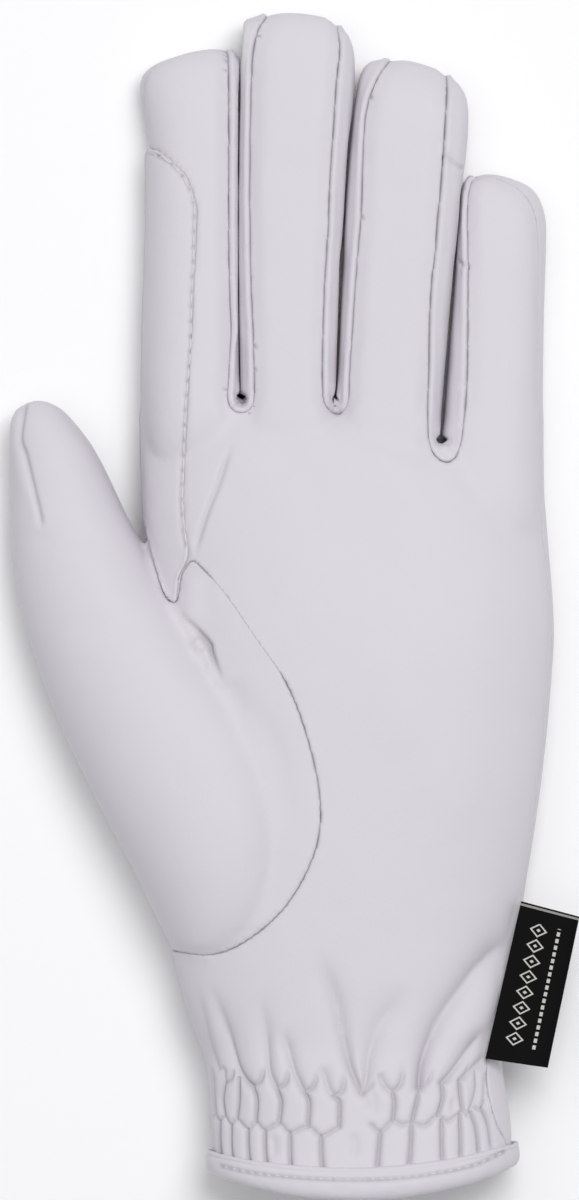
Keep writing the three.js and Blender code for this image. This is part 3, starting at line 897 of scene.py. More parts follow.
@dataclass(frozen=True)
class ShirredWrist:
    """Leather drawn up on two elastic rows: long folds, then two rows of puffs like fish scales.

    Every crease is a line of the photograph's pixels; the puffs are what stands between them.
    """

    # Each with its depth, its widths at the start and the end in mm, and its fade in
    long_folds: tuple = (
        (((196, 978), (203, 1020), (209, 1046), (218, 1068)), 0.9, 1.6, 0.7, 0.5),
        (((209, 975), (219, 1010), (226, 1030), (232, 1050), (238, 1066), (246, 1078), (253, 1084)),
         1.5, 1.9, 0.6, 0.45),
        (((259, 985), (265, 1025), (267, 1046), (270, 1070), (277, 1086)), 1.2, 1.8, 0.6, 0.5),
        (((281, 1020), (289, 1050), (295, 1070), (304, 1089)), 1.2, 1.5, 0.6, 0.4),
        (((318, 945), (326, 972), (337, 1003), (342, 1030), (348, 1056), (353, 1072), (362, 1091)),
         1.5, 1.5, 0.7, 0.35),
        (((410, 980), (394, 1003), (380, 1022), (373, 1038), (368, 1056), (366, 1075), (362, 1091)),
         1.3, 2.8, 0.8, 0.35),
        (((520, 934), (500, 950), (478, 970), (460, 992), (446, 1010), (435, 1028), (426, 1049),
         (421, 1066), (419, 1085)), 2.3, 3.0, 0.9, 0.2),
        (((320, 1060), (324, 1070), (328, 1083), (333, 1093)), 0.9, 1.0, 0.6, 0.4),
        (((377, 1068), (381, 1077), (386, 1085), (392, 1089)), 1.0, 0.9, 0.6, 0.3),
        (((487, 1022), (470, 1046), (454, 1067), (441, 1081)), 1.3, 1.6, 0.6, 0.35),
        (((490, 1052), (478, 1062), (466, 1072), (459, 1079)), 1.0, 1.0, 0.6, 0.3),
        (((222, 1062), (224, 1072), (225, 1082)), 0.9, 0.8, 0.6, 0.4),
        (((205, 1062), (207, 1095), (206, 1112)), 0.9, 0.7, 0.5, 0.4),
        (((212, 1058), (214, 1095), (216, 1114)), 0.9, 0.7, 0.5, 0.4),
        (((474, 1052), (476, 1084), (471, 1104)), 0.8, 0.7, 0.5, 0.4),
        (((485, 1060), (484, 1090), (481, 1104)), 0.6, 0.7, 0.5, 0.5),
    )
    scallops: tuple = (
        ((225, 1082), (231, 1077), (234, 1066), (233, 1052)),
        ((253, 1084), (260, 1079), (265, 1067), (268, 1050)),
        ((277, 1086), (285, 1081), (289, 1069), (290, 1052)),
        ((304, 1089), (312, 1085), (317, 1074), (320, 1060)),
        ((333, 1093), (341, 1089), (345, 1076), (348, 1058)),
        ((362, 1091), (370, 1084), (375, 1074), (377, 1066)),
        ((392, 1089), (399, 1083), (403, 1070), (404, 1052)),
        ((419, 1085), (427, 1080), (432, 1068), (436, 1054)),
        ((441, 1081), (448, 1077), (453, 1066), (456, 1054)),
        ((459, 1079), (465, 1074), (470, 1062), (475, 1052)),
    )
    upper_creases: tuple = (
        ((225, 1082), (223, 1098), (225, 1114)),
        ((239, 1076), (239, 1098), (237, 1117)),
        ((253, 1084), (257, 1098), (256, 1120)),
        ((277, 1086), (281, 1100), (279, 1121)),
        ((304, 1089), (309, 1099), (308, 1124)),
        ((333, 1093), (339, 1100), (339, 1124)),
        ((392, 1089), (394, 1101), (392, 1118)),
        ((419, 1085), (416, 1100), (411, 1120)),
        ((441, 1081), (442, 1096), (437, 1113)),
        ((459, 1079), (460, 1094), (462, 1109)),
    )
    faint_creases: tuple = (
        ((362, 1091), (368, 1101), (371, 1112)),
        ((371, 1084), (374, 1098), (373, 1116)),
        ((448, 1096), (452, 1103), (450, 1112)),
        ((352, 1128), (355, 1140), (353, 1158)),
        ((272, 1130), (275, 1142), (274, 1156)),
    )
    zigzag: tuple = (
        ((206, 1112), (211, 1119), (216, 1114), (220, 1120), (225, 1114), (231, 1123), (237, 1117),
         (248, 1127), (256, 1120), (265, 1128), (279, 1121), (290, 1130), (308, 1124), (321, 1133),
         (339, 1124)),
        ((371, 1122), (380, 1129), (392, 1118), (401, 1122), (411, 1120), (424, 1123), (437, 1113),
         (447, 1119), (462, 1109), (467, 1113), (471, 1104), (480, 1108), (484, 1099)),
    )
    lower_creases: tuple = (
        ((211, 1119), (213, 1140), (214, 1160)),
        ((220, 1120), (220, 1140), (222, 1162)),
        ((231, 1123), (231, 1145), (233, 1164)),
        ((248, 1127), (248, 1146), (250, 1166)),
        ((265, 1128), (265, 1148), (267, 1167)),
        ((290, 1130), (290, 1150), (291, 1169)),
        ((321, 1133), (321, 1150), (323, 1170)),
        ((380, 1129), (378, 1150), (377, 1169)),
        ((411, 1122), (410, 1145), (408, 1167)),
        ((441, 1117), (441, 1140), (442, 1163)),
        ((459, 1112), (460, 1135), (460, 1160)),
        ((470, 1110), (476, 1128), (479, 1156)),
        ((481, 1106), (488, 1124), (492, 1150)),
    )
    fullness: float = 0.55 * MM
    swell_rows: tuple = (1085, 1040)

    def lines(self) -> list[Crease]:
        """Every crease, with its depth, widths and fades."""
        kinds = (
            (self.scallops, 1.0, 0.45, 0.8, 0.0, 0.75),
            (self.upper_creases, 1.15, 0.4, 0.34),
            (self.faint_creases, 0.45, 0.7, 0.7, 0.3, 0.3),
            (self.zigzag, 0.75, 0.38, 0.38),
            (self.lower_creases, 1.15, 0.34, 0.4, 0.0, 0.2),
        )
        rows = [*self.long_folds]
        rows += [(path, *sizes) for paths, *sizes in kinds for path in paths]
        return [
            Crease(path, depth * MM, start * MM, end * MM, *fades)
            for path, depth, start, end, *fades in rows
        ]

    def creases(self, points: Points) -> tuple[Points, Points]:
        """Depth and painted shade of the deepest crease at each row."""
        total, dark = np.zeros(len(points)), np.zeros(len(points))
        for line in self.lines():
            depth, shade = line.relief(points)
            total, dark = np.maximum(total, depth), np.maximum(dark, shade)
        return total, dark

    def relief(self, points: Points) -> Points:
        """Height of the gathered leather at each row: its fullness less its creases."""
        full = self.fullness * (1 - rising(points, *self.swell_rows))
        return full - self.creases(points)[0]


@dataclass(frozen=True)
class PalmRelief:
    """All that raises or sinks the palm side of the skin.

    Folds narrower than the fine width get a finer mesh, and get painted shade on the leather if they are
    sunk.
    """

    facing: float = 0.12
    fine_width: float = 1.15 * MM
    fine_reach: float = 2.2 * MM
    fine_tack: float = 1.6
    full_depth: float = 1.2 * MM
    patch_shade: float = 0.55
    shade_width: float = 0.45 * MM
    shade_power: float = 1.5
    tacks: tuple = (
        Tack((237, 402), 1.7 * MM, 0.55 * MM),
        Tack((337, 406), 1.8 * MM, 0.7 * MM),
        Tack((446, 448), 2.0 * MM, 0.6 * MM),
    )
    # Each fold's path, its width and height in mm, and its fades
    fold_table: tuple = (
        (((545, 930), (500, 990), (472, 1030), (455, 1060)), 4.0, 0.9, 0.3, 0.2),
        (((234, 436), (226, 460), (218, 485), (210, 505), (203, 525), (197, 545), (195, 558)),
         0.6, -0.6, 0.3, 0.2),
        # Where the side strips are pieced together
        (((443, 156), (454, 163), (466, 171)), 0.4, -0.5, 0.05, 0.05),
        (((454, 257), (461, 263), (468, 269)), 0.4, -0.5, 0.05, 0.05),
        (((178, 609), (186, 619), (196, 629), (209, 644), (211, 652), (219, 673), (226, 686)),
         0.55, -1.5, 0.5, 0.45),
        (((225, 678), (240, 705), (256, 735)), 2.4, -0.6, 0.2, 0.7),
        (((193, 640), (199, 648), (204, 652)), 1.5, 0.8, 0.2, 0.2),
        (((194, 568), (190, 590), (190, 612), (197, 634)), 2.4, 0.7, 0.25, 0.35),
        (((235, 695), (255, 710), (270, 740), (280, 770), (286, 810), (287, 850)),
         2.6, -0.4, 0.4, 0.4),
        # The dart that rounds the thumb's tip
        (((25, 398), (22, 420), (20, 440), (25, 455), (30, 475), (35, 495), (40, 515), (43, 532)),
         0.55, -0.75, 0.02, 0.12),
        (((18, 402), (14, 425), (13, 445), (18, 465), (23, 485), (29, 510)), 1.2, 0.35, 0.2, 0.3),
        # Soft crossways wrinkles on the thumb and at the finger roots
        (((20, 545), (45, 541), (80, 538), (112, 530)), 2.2, -0.25, 0.3, 0.3),
        (((60, 640), (95, 628), (130, 622), (160, 618)), 3.0, -0.3, 0.3, 0.3),
        (((350, 430), (380, 452), (410, 470), (440, 478)), 3.2, 0.35, 0.4, 0.4),
        (((262, 432), (285, 462), (315, 480), (350, 486)), 4.0, -0.3, 0.4, 0.4),
        (((300, 520), (350, 545), (410, 560), (480, 560)), 6.0, -0.3, 0.4, 0.4),
        (((330, 640), (390, 690), (450, 780), (480, 880)), 8.0, 0.4, 0.4, 0.4),
    )
    wrist: ShirredWrist = field(default_factory=ShirredWrist)

    def folds(self) -> list[Fold]:
        """The folds of the table."""
        return [
            Fold(path, width * MM, height * MM, *fades) for path, width, height, *fades in self.fold_table
        ]

    def height(self, points: Points, out: Points) -> Points:
        """Height of all relief.

        Args:
            points: Rows of x, y and z.
            out: The skin's normals there.

        Returns:
            How far each row moves along its normal.
        """
        total = self.wrist.relief(points)
        for bump in (*self.folds(), *self.tacks):
            total += bump.relief(points)
        return total * self.upward(out)

    def upward(self, out: Points) -> Points:
        """How much each normal faces the palm side."""
        return step(out[:, 2], self.facing, 3 * self.facing)

    def shade_amount(self, points: Points, out: Points) -> Points:
        """How much painted shade each row gets: in narrow creases, and as a painted contact shadow beside
        the rein patch's edge.
        """
        dark = self.wrist.creases(points)[1]
        for fold in self.folds():
            if fold.width < self.fine_width and fold.height < 0:
                dark = np.maximum(dark, -fold.relief(points) / self.full_depth)
        # Painted contact shadow at the foot of the rein patch's edge
        beside = Line(SeamPlan().patch_edge()).measure(points, 3 * MM)[2]
        dark = np.maximum(dark, self.patch_shade * bell(beside, self.shade_width))
        return np.clip(dark, 0, 1) ** self.shade_power * self.upward(out)

    def fine(self, points: Points) -> Points:
        """Tells which rows lie so near a narrow fold or a tack that they need a finer mesh."""
        result = np.zeros(len(points), bool)
        for tack in self.tacks:
            result |= tack.distance(points) < self.fine_tack * tack.radius
        for fold in self.folds():
            if fold.width < self.fine_width:
                far = drawn_line(fold.path).measure(points, self.fine_reach)[2]
                result |= far < self.fine_reach
        return result


# Cutting the skin in its pieces

# Corners, lower left and upper right, of the box round the fold between thumb and index finger
THUMB_FOLD = ((112, 606), (174, 545))

# That fold is too steep for its border to be snapped to a line in the plan, so it is evened out
FOLD_ROUNDS = 14

# Where a distance grows faster than this, a line's corner or its far end lies near
STEEPEST = 1.5


@dataclass
class Cutter:
    """Cuts the skin along the seams."""

    seams: SeamPlan = field(default_factory=SeamPlan)
    above_hem: float = 0.5 * MM
    snap_reach: float = 4 * MM
    snap_rounds: int = 3
    longest_step: float = 1.0 * MM
    least_slope: float = 0.15
    first_rounds: int = 10
    last_rounds: int = 2
    relax_rounds: int = 8
    blend_rounds: int = 3

    def label(self, points: Points) -> Points:
        """Tells which piece each place of the skin belongs to.

        Args:
            points: Rows of x, y and z.

        Returns:
            The piece's number in REGION_ORDER for each row.
        """
        seams = self.seams
        above = points[:, 2] > seams.level(points)
        thumb = inside(points, seams.thumb_palm_outline()) & above
        thumb |= inside(points, seams.thumb_back_outline())
        palm = inside(points, seams.palm_outline()) & above & ~thumb
        result = np.full(len(points), REGION_ORDER.index(Region.BACK))
        result[palm] = REGION_ORDER.index(Region.PALM)
        result[thumb] = REGION_ORDER.index(Region.THUMB)
        for region, fork in self.forks().items():
            result[inside(points, fork.outline())] = REGION_ORDER.index(region)
        return result

    def forks(self) -> dict[Region, FingerFork]:
        """The three strips between the fingers."""
        return {
            Region.FORK_INDEX_MIDDLE: self.seams.index_middle,
            Region.FORK_MIDDLE_RING: self.seams.middle_ring,
            Region.FORK_RING_LITTLE: self.seams.ring_little,
        }

    def snap(self, points: Points, out: Points, border: Points) -> Points:
        """Moves the places on a border onto the nearest seam, along the skin.

        Args:
            points: Rows of x, y and z.
            out: The skin's normals there.
            border: Which rows lie on a border.

        Returns:
            The moved rows.
        """
        seams = self.seams
        outlines = [seams.thumb_palm_outline(), seams.palm_outline(), seams.thumb_back_outline()]
        outlines += [fork.outline() for fork in self.forks().values()]
        lines = [line_round(outline) for outline in outlines]
        moved = points.copy()
        rows = np.flatnonzero(border)
        for _ in range(self.snap_rounds):
            at, normal = moved[rows], out[rows]
            best = at[:, 2] - seams.level(at)
            slope = np.tile((0.0, 0.0, 1.0), (len(rows), 1))
            for line in lines:
                side, _, far = line.measure(at, self.snap_reach)
                nearer = far < np.abs(best)
                nudge = np.zeros_like(at)
                for axis in (0, 1):
                    nudge[:, axis] = line.slope(at, side, axis, self.snap_reach)
                usable = nearer & (np.linalg.norm(nudge, axis=1) < STEEPEST)
                best = np.where(usable, side, best)
                slope = np.where(usable[:, None], nudge, slope)
            flat = slope - (slope * normal).sum(axis=1)[:, None] * normal
            shift = -best / np.maximum((flat**2).sum(axis=1), self.least_slope)
            moved[rows] += flat * np.clip(shift, -self.longest_step, self.longest_step)[:, None]
        return moved

    def cut(self, skin: Object, hand: Hand) -> dict[Region, Object]:
        """Cuts the skin in pieces.

        Args:
            skin: The closed skin.
            hand: The form that the skin was made of.

        Returns:
            An open sheet for each piece.
        """
        mesh = skin.data
        points, out, quads = positions(mesh), normals(mesh), face_corners(mesh)
        centres = points[quads].mean(axis=1)
        labels = without_spurs(self.label(centres), quads)
        hem = hand.hem(self.above_hem).points
        kept = centres[:, 1] > np.interp(centres[:, 0], hem[:, 0], hem[:, 1])
        border = on_border(labels, quads, len(points))
        points = self.snap(points, out, border)
        points = self.snap(even_out(points, quads, border, self.first_rounds), out, border)
        points = even_out(points, quads, border, self.last_rounds)
        points = even_out(points, quads, border & at_thumb_fold(points), FOLD_ROUNDS)
        points = relax(points, quads, border, self.relax_rounds)
        move_to(mesh, points)
        out = towards_neighbours(normals(mesh), sides(quads), slice(None), self.blend_rounds, 0.5)
        pieces = {}
        for number, region in enumerate(REGION_ORDER):
            faces = quads[(labels == number) & kept]
            pieces[region], used = cut_out(f"{region.value}_skin", points, faces)
            keep_normals(pieces[region].data, out[used])
        bpy.data.objects.remove(skin)
        return pieces


def sides(quads: Points) -> Points:
    """The faces' sides, as rows of two vertex numbers."""
    return np.vstack([quads[:, [i, (i + 1) % 4]] for i in range(4)])


def on_border(labels: Points, quads: Points, count: int) -> Points:
    """Tells which vertices lie between faces of different pieces.

    Args:
        labels: Each face's piece.
        quads: The faces' corners.
        count: Number of vertices.

    Returns:
        True or False for each vertex.
    """
    low = np.full(count, len(REGION_ORDER))
    high = np.full(count, -1)
    for corner in quads.T:
        np.minimum.at(low, corner, labels)
        np.maximum.at(high, corner, labels)
    return low != high


def without_spurs(labels: Points, quads: Points, rounds: int = 3) -> Points:
    """Gives single faces that stick out over a border to the piece round them.

    Args:
        labels: Each face's piece.
        quads: The faces' corners.
        rounds: How often it is done.

    Returns:
        The new labels.
    """
    edges = np.sort(sides(quads), axis=1)
    owner = np.tile(np.arange(len(quads)), 4)
    key = edges[:, 0] * (quads.max() + 1) + edges[:, 1]
    order = np.argsort(key, kind="stable")
    shared = key[order][1:] == key[order][:-1]
    one, two = owner[order][:-1][shared], owner[order][1:][shared]
    labels = labels.copy()
    for _ in range(rounds):
        alike = np.bincount(np.append(one, two), np.tile(labels[one] == labels[two], 2), len(quads))
        differs = labels[one] != labels[two]
        other = labels.copy()
        other[one[differs]] = labels[two[differs]]
        other[two[differs]] = labels[one[differs]]
        labels = np.where(alike <= 1, other, labels)
    return labels


def towards_neighbours(rows: Points, edges: Points, moving: Points | slice, rounds: int,
                       share: float) -> Points:
    """Moves values over a skin towards the mean of their neighbours.

    Args:
        rows: One row of values for each vertex.
        edges: Rows of two neighbours.
        moving: Which rows change.
        rounds: How often it is done.
        share: How far they move each time.

    Returns:
        The new rows.
    """
    count = np.maximum(np.bincount(edges.ravel(), minlength=len(rows)), 1)[:, None]
    moved = rows.copy()
    for _ in range(rounds):
        total = np.zeros_like(moved)
        np.add.at(total, edges[:, 0], moved[edges[:, 1]])
        np.add.at(total, edges[:, 1], moved[edges[:, 0]])
        moved[moving] = (1 - share) * moved[moving] + share * (total / count)[moving]
    return moved


def at_thumb_fold(points: Points) -> Points:
    """Tells which rows lie in the fold between thumb and index finger."""
    low, high = seen([list(corner) for corner in THUMB_FOLD])
    return ((points[:, :2] > low) & (points[:, :2] < high)).all(axis=1)


def even_out(points: Points, quads: Points, border: Points, rounds: int) -> Points:
    """Evens out the spacing of the places along a border.

    Args:
        points: Rows of x, y and z.
        quads: The faces' corners.
        border: Which rows lie on the border.
        rounds: How often it is done.

    Returns:
        The moved rows.
    """
    edges = sides(quads)
    return towards_neighbours(points, edges[border[edges].all(axis=1)], border, rounds, 0.6)


def relax(points: Points, quads: Points, held: Points, rounds: int, rings: int = 3) -> Points:
    """Evens out the spacing of a skin beside places that are held.

    Args:
        points: Rows of x, y and z.
        quads: The faces' corners.
        held: Which rows stay.
        rounds: How often it is done.
        rings: How many rows of faces beside them move.

    Returns:
        The moved rows.
    """
    edges = sides(quads)
    near = held.copy()
    for _ in range(rings):
        near[edges[near[edges].any(axis=1)].ravel()] = True
    return towards_neighbours(points, edges, near & ~held, rounds, 0.5)


def keep_normals(mesh: Mesh, out: Points) -> None:
    """Keeps the whole skin's normals on a piece, so that neighbouring edges move alike."""
    layer = mesh.attributes.new("skin_normal", "FLOAT_VECTOR", "POINT")
    layer.data.foreach_set("vector", out.astype(np.float32).ravel())


def keep_painted_shade(mesh: Mesh, dark: Points) -> None:
    """Keeps how much painted shade each vertex gets in creases, grooves, seams and stitch holes, for the
    leather's colour.
    """
    layer = mesh.attributes.get("crease") or mesh.attributes.new("crease", "FLOAT", "POINT")
    layer.data.foreach_set("value", dark.astype(np.float32))


def kept_normals(mesh: Mesh) -> Points:
    """The normals that keep_normals left on a piece."""
    flat = np.empty(3 * len(mesh.vertices), np.float32)
    mesh.attributes["skin_normal"].data.foreach_get("vector", flat)
    rows = flat.reshape(-1, 3).astype(float)
    return rows / np.maximum(np.linalg.norm(rows, axis=1), 1e-6)[:, None]


def open_edge(mesh: Mesh) -> Points:
    """Tells which vertices lie on a sheet's open edge."""
    used = np.bincount(read_numbers(mesh.loops, "edge_index"), minlength=len(mesh.edges))
    result = np.zeros(len(mesh.vertices), bool)
    result[read_numbers(mesh.edges, "vertices", 2)[used == 1].ravel()] = True
    return result


def from_edge(points: Points, edge: Points, reach: float) -> Points:
    """Distance of each row from the nearest place on an edge, up to a reach.

    Args:
        points: Rows of x, y and z.
        edge: The edge's rows.
        reach: The longest distance told apart.

    Returns:
        The distances.
    """
    far = np.full(len(points), reach)
    cell = np.floor(points / reach).astype(np.int64)
    edge_cell = np.floor(edge / reach).astype(np.int64)
    boxes: dict[tuple, list] = {}
    for number, key in enumerate(map(tuple, edge_cell)):
        boxes.setdefault(key, []).append(number)
    order = np.lexsort(cell.T)
    breaks = np.flatnonzero(np.any(np.diff(cell[order], axis=0), axis=1)) + 1
    for rows in np.split(order, breaks):
        key = cell[rows[0]]
        close = [n for shift in np.ndindex(3, 3, 3) for n in boxes.get(tuple(key + shift - 1), ())]
        if close:
            gaps = np.linalg.norm(points[rows, None] - edge[close], axis=2)
            far[rows] = np.minimum(gaps.min(axis=1), reach)
    return far


# Leather and threads


@dataclass(frozen=True)
class QuietSeams:
    """Where a seam shows less: nowhere along the thumb's fork, and a little less at the fingers."""

    path: tuple = ((208, 572), (222, 590), (240, 615), (262, 650), (284, 682))
    hidden: float = 0.97
    width: float = 5 * MM
    ends: float = 3 * MM
    finger_rows: tuple = (430, 400)
    finger_share: float = 0.35

    def shown(self, points: Points) -> Points:
        """How much of a seam shows at each row."""
        line = drawn_line(self.path)
        _, along, far = line.measure(points, 12 * MM)
        within = step(along, 0, self.ends) * (1 - step(along, line.length - self.ends, line.length))
        fingers = rising(points, *self.finger_rows)
        return (1 - self.hidden * bell(far, self.width) * within) * (1 - self.finger_share * fingers)


@dataclass
class LeatherPiece:
    """A cut piece of leather: its edges turned in, its face shaped, its wall given.

    Noises are given by height, width and seed.
    """

    region: Region
    sheet: Object
    relief: PalmRelief = field(default_factory=PalmRelief)
    turn: float = 0.45 * MM
    roundness: float = 0.92
    uneven: tuple = (0.45, 2.6 * MM, 6)
    wall: float = 1.2 * MM
    pucker: float = 0.10 * MM
    pucker_reach: float = 3.0 * MM
    ripples: tuple = ((1.0, 2.2 * MM, 3), (0.6, 1.1 * MM, 5))
    swells: tuple = ((0.12 * MM, 14 * MM, 8), (0.05 * MM, 5 * MM, 9))
    # Painted shade along the seams: its strength and its width
    seam_shade: float = 0.2
    seam_shade_width: float = 0.4 * MM
    welt_rows: tuple = (425, 400)
    welt_height: float = 0.3 * MM
    welt_width: float = 0.7 * MM
    palm_sink: float = 0.4 * MM
    sink_width: float = 2.4 * MM
    edge_fine: float = 1.3 * MM
    gathers_top: float = 1035
    wrinkles_top: float = 1055
    wrinkle_fine: float = 0.22

    def build(self) -> Object:
        """Shapes the sheet and gives it its wall.

        Returns:
            The finished piece.
        """
        self.refine()
        mesh = self.sheet.data
        points, out = positions(mesh), kept_normals(mesh)
        far = from_edge(points, points[open_edge(mesh)], self.pucker_reach)
        rolled = np.clip(1 - far / self.turn, 0, 1)
        tension = 1 + noise(points, self.uneven)
        shown = QuietSeams().shown(points)
        drop = self.turn * (1 - np.sqrt(1 - self.roundness * rolled**2)) * shown * tension
        pucker = self.pucker * noise(points, *self.ripples) * bell(far, 0.5 * self.pucker_reach)
        lift = self.relief.height(points, out) + self.welt(points, far)
        # Painted shade along the seams, joined with the painted shade of the palm's creases
        painted_shade = self.seam_shade * bell(far, self.seam_shade_width) * shown * tension
        keep_painted_shade(mesh, np.maximum(self.relief.shade_amount(points, out), painted_shade))
        lift = lift + pucker + noise(points, *self.swells) - drop
        lay(self.sheet, points + out * lift[:, None])
        give_wall(self.sheet, self.wall)
        return self.sheet

    def welt(self, points: Points, far: Points) -> Points:
        """Raises the side strips' seam edges and sinks the palm's beside them.

        Args:
            points: Rows of x, y and z.
            far: Each row's distance from the piece's edge.

        Returns:
            The height at each row.
        """
        fingers = rising(points, *self.welt_rows)
        sink = -self.palm_sink * bell(far, self.sink_width) * fingers
        if self.region in (Region.PALM, Region.BACK, Region.THUMB):
            return sink
        free = step(far, 0, self.welt_width)
        raised = self.welt_height * bell(far - self.welt_width, self.welt_width) * fingers * free
        return sink * (1 - free) + raised

    def refine(self) -> None:
        """Makes the mesh finer along the edges, at narrow folds and where the wrist is gathered."""
        points = positions(self.sheet.data)
        near = from_edge(points, points[open_edge(self.sheet.data)], self.edge_fine) < self.edge_fine
        if self.region is Region.BACK:
            subdivide(self.sheet, near)
            return
        gathered = (points[:, 1] < seen_level(self.gathers_top)) & (self.region is Region.PALM)
        subdivide(self.sheet, near | gathered | self.relief.fine(points))
        if self.region is Region.PALM:
            points = positions(self.sheet.data)
            low = points[:, 1] < seen_level(self.wrinkles_top)
            wrinkled = self.relief.wrist.creases(points)[1] > self.wrinkle_fine
            subdivide(self.sheet, low & wrinkled)


@dataclass
class StitchRow:
    """Stitches laid on finished leather along a line seen in the photograph.

    The leather is drawn down beside them, and most of all at the needle's holes.
    """

    name: str
    path: tuple
    pitch: float
    length: float
    thick: float
    sink: float
    hole_width: float
    hole_power: int
    groove_width: float = 0.45 * MM
    blunt: float = 0.8
    dip: float = 0.5
    dip_power: int = 3
    cast_from: float = 0.1

    def marks(self, points: Points) -> tuple[Points, Points]:
        """How deep each row lies in the seam's groove, and how near to one of its holes."""
        line = drawn_line(self.path)
        _, along, off = line.measure(points, 2 * MM)
        turns = along * int(line.length / self.pitch) / line.length
        holes = np.cos(math.pi * turns) ** self.hole_power
        return bell(off, self.groove_width), holes * bell(off, self.hole_width)

    def thread(self) -> tuple[Points, list]:
        """Models one stitch, along x.

        Returns:
            Its vertices and faces.
        """
        bpy.ops.mesh.primitive_uv_sphere_add(segments=8, ring_count=7, radius=1.0)
        one = bpy.context.object
        ball = positions(one.data)
        x = np.sign(ball[:, 2]) * np.abs(ball[:, 2]) ** self.blunt
        sizes = (self.length, self.thick, self.thick)
        points = np.column_stack((x, ball[:, 0], ball[:, 1])) * sizes / 2
        # The ends dip into their holes
        ends = np.abs(points[:, 0]) / (self.length / 2)
        points[:, 2] += (0.5 - self.sink) * self.thick - self.dip * self.thick * ends**self.dip_power
        faces = [tuple(face.vertices) for face in one.data.polygons]
        bpy.data.objects.remove(one)
        return points, faces

    def spots(self, line: Line, middle: float, ground: BVHTree) -> list[tuple[Points, Points]]:
        """Finds the leather under a stitch's two ends and its middle.

        Args:
            line: The line of the row.
            middle: Distance of the stitch's middle along it.
            ground: The finished leather.

        Returns:
            Place and normal of each that has leather under it.
        """
        found = []
        before = np.append(line.before, line.length)
        for shift in (-0.5, 0, 0.5):
            at = np.clip(middle + shift * self.length, 0, line.length)
            x, y = (np.interp(at, before, line.points[:, axis]) for axis in (0, 1))
            hit, normal, _, _ = ground.ray_cast(Vector((x, y, self.cast_from)), Vector((0, 0, -1)))
            if hit is not None:
                found.append((np.array(hit), np.array(normal)))
        return found

    def build(self, ground: BVHTree) -> Object:
        """Lays the stitches on the leather.

        Args:
            ground: The finished leather to lie on.

        Returns:
            All of the row's stitches.
        """
        line = drawn_line(self.path)
        points, faces = self.thread()
        everywhere, every_face = [], []
        count = int(line.length / self.pitch)
        for middle in (np.arange(count) + 0.5) * line.length / count:
            spots = self.spots(line, middle, ground)
            if len(spots) < 3:
                continue
            (first, _), (centre, up), (last, _) = spots
            run = (last - first) / np.linalg.norm(last - first)
            side = np.cross(up if up[2] > 0 else -up, run)
            side /= np.linalg.norm(side)
            axes = np.array((run, side, np.cross(run, side)))
            base = len(everywhere) * len(points)
            everywhere.append((first + centre + last) / 3 + points @ axes)
            every_face += [tuple(base + corner for corner in face) for face in faces]
        row = new_object(self.name, np.vstack(everywhere), every_face)
        select_only(row)
        face_outwards()
        smooth(row)
        return row


PATCH_STITCHES = StitchRow(
    "patch_stitches",
    ((147, 151), (155, 153), (164, 158), (175, 167), (185, 180), (191, 193), (194.5, 208), (194.5, 220),
     (193.5, 260), (191.5, 300), (190.5, 350), (188, 380), (186.5, 400), (184.5, 440), (183.5, 470),
     (182.5, 500), (184.5, 530), (187, 545)),
    pitch=3.0 * MM, length=2.5 * MM, thick=0.42 * MM, sink=0.15, hole_width=0.35 * MM, hole_power=10,
)
BINDING_STITCHES = StitchRow(
    "binding_stitches",
    ((222, 1164), (236, 1167), (262, 1171), (300, 1174), (350, 1175.5), (400, 1174), (440, 1169),
     (470, 1163), (492, 1155), (503, 1150)),
    pitch=1.7 * MM, length=1.0 * MM, thick=0.36 * MM, sink=0.45, hole_width=0.4 * MM, hole_power=6,
)


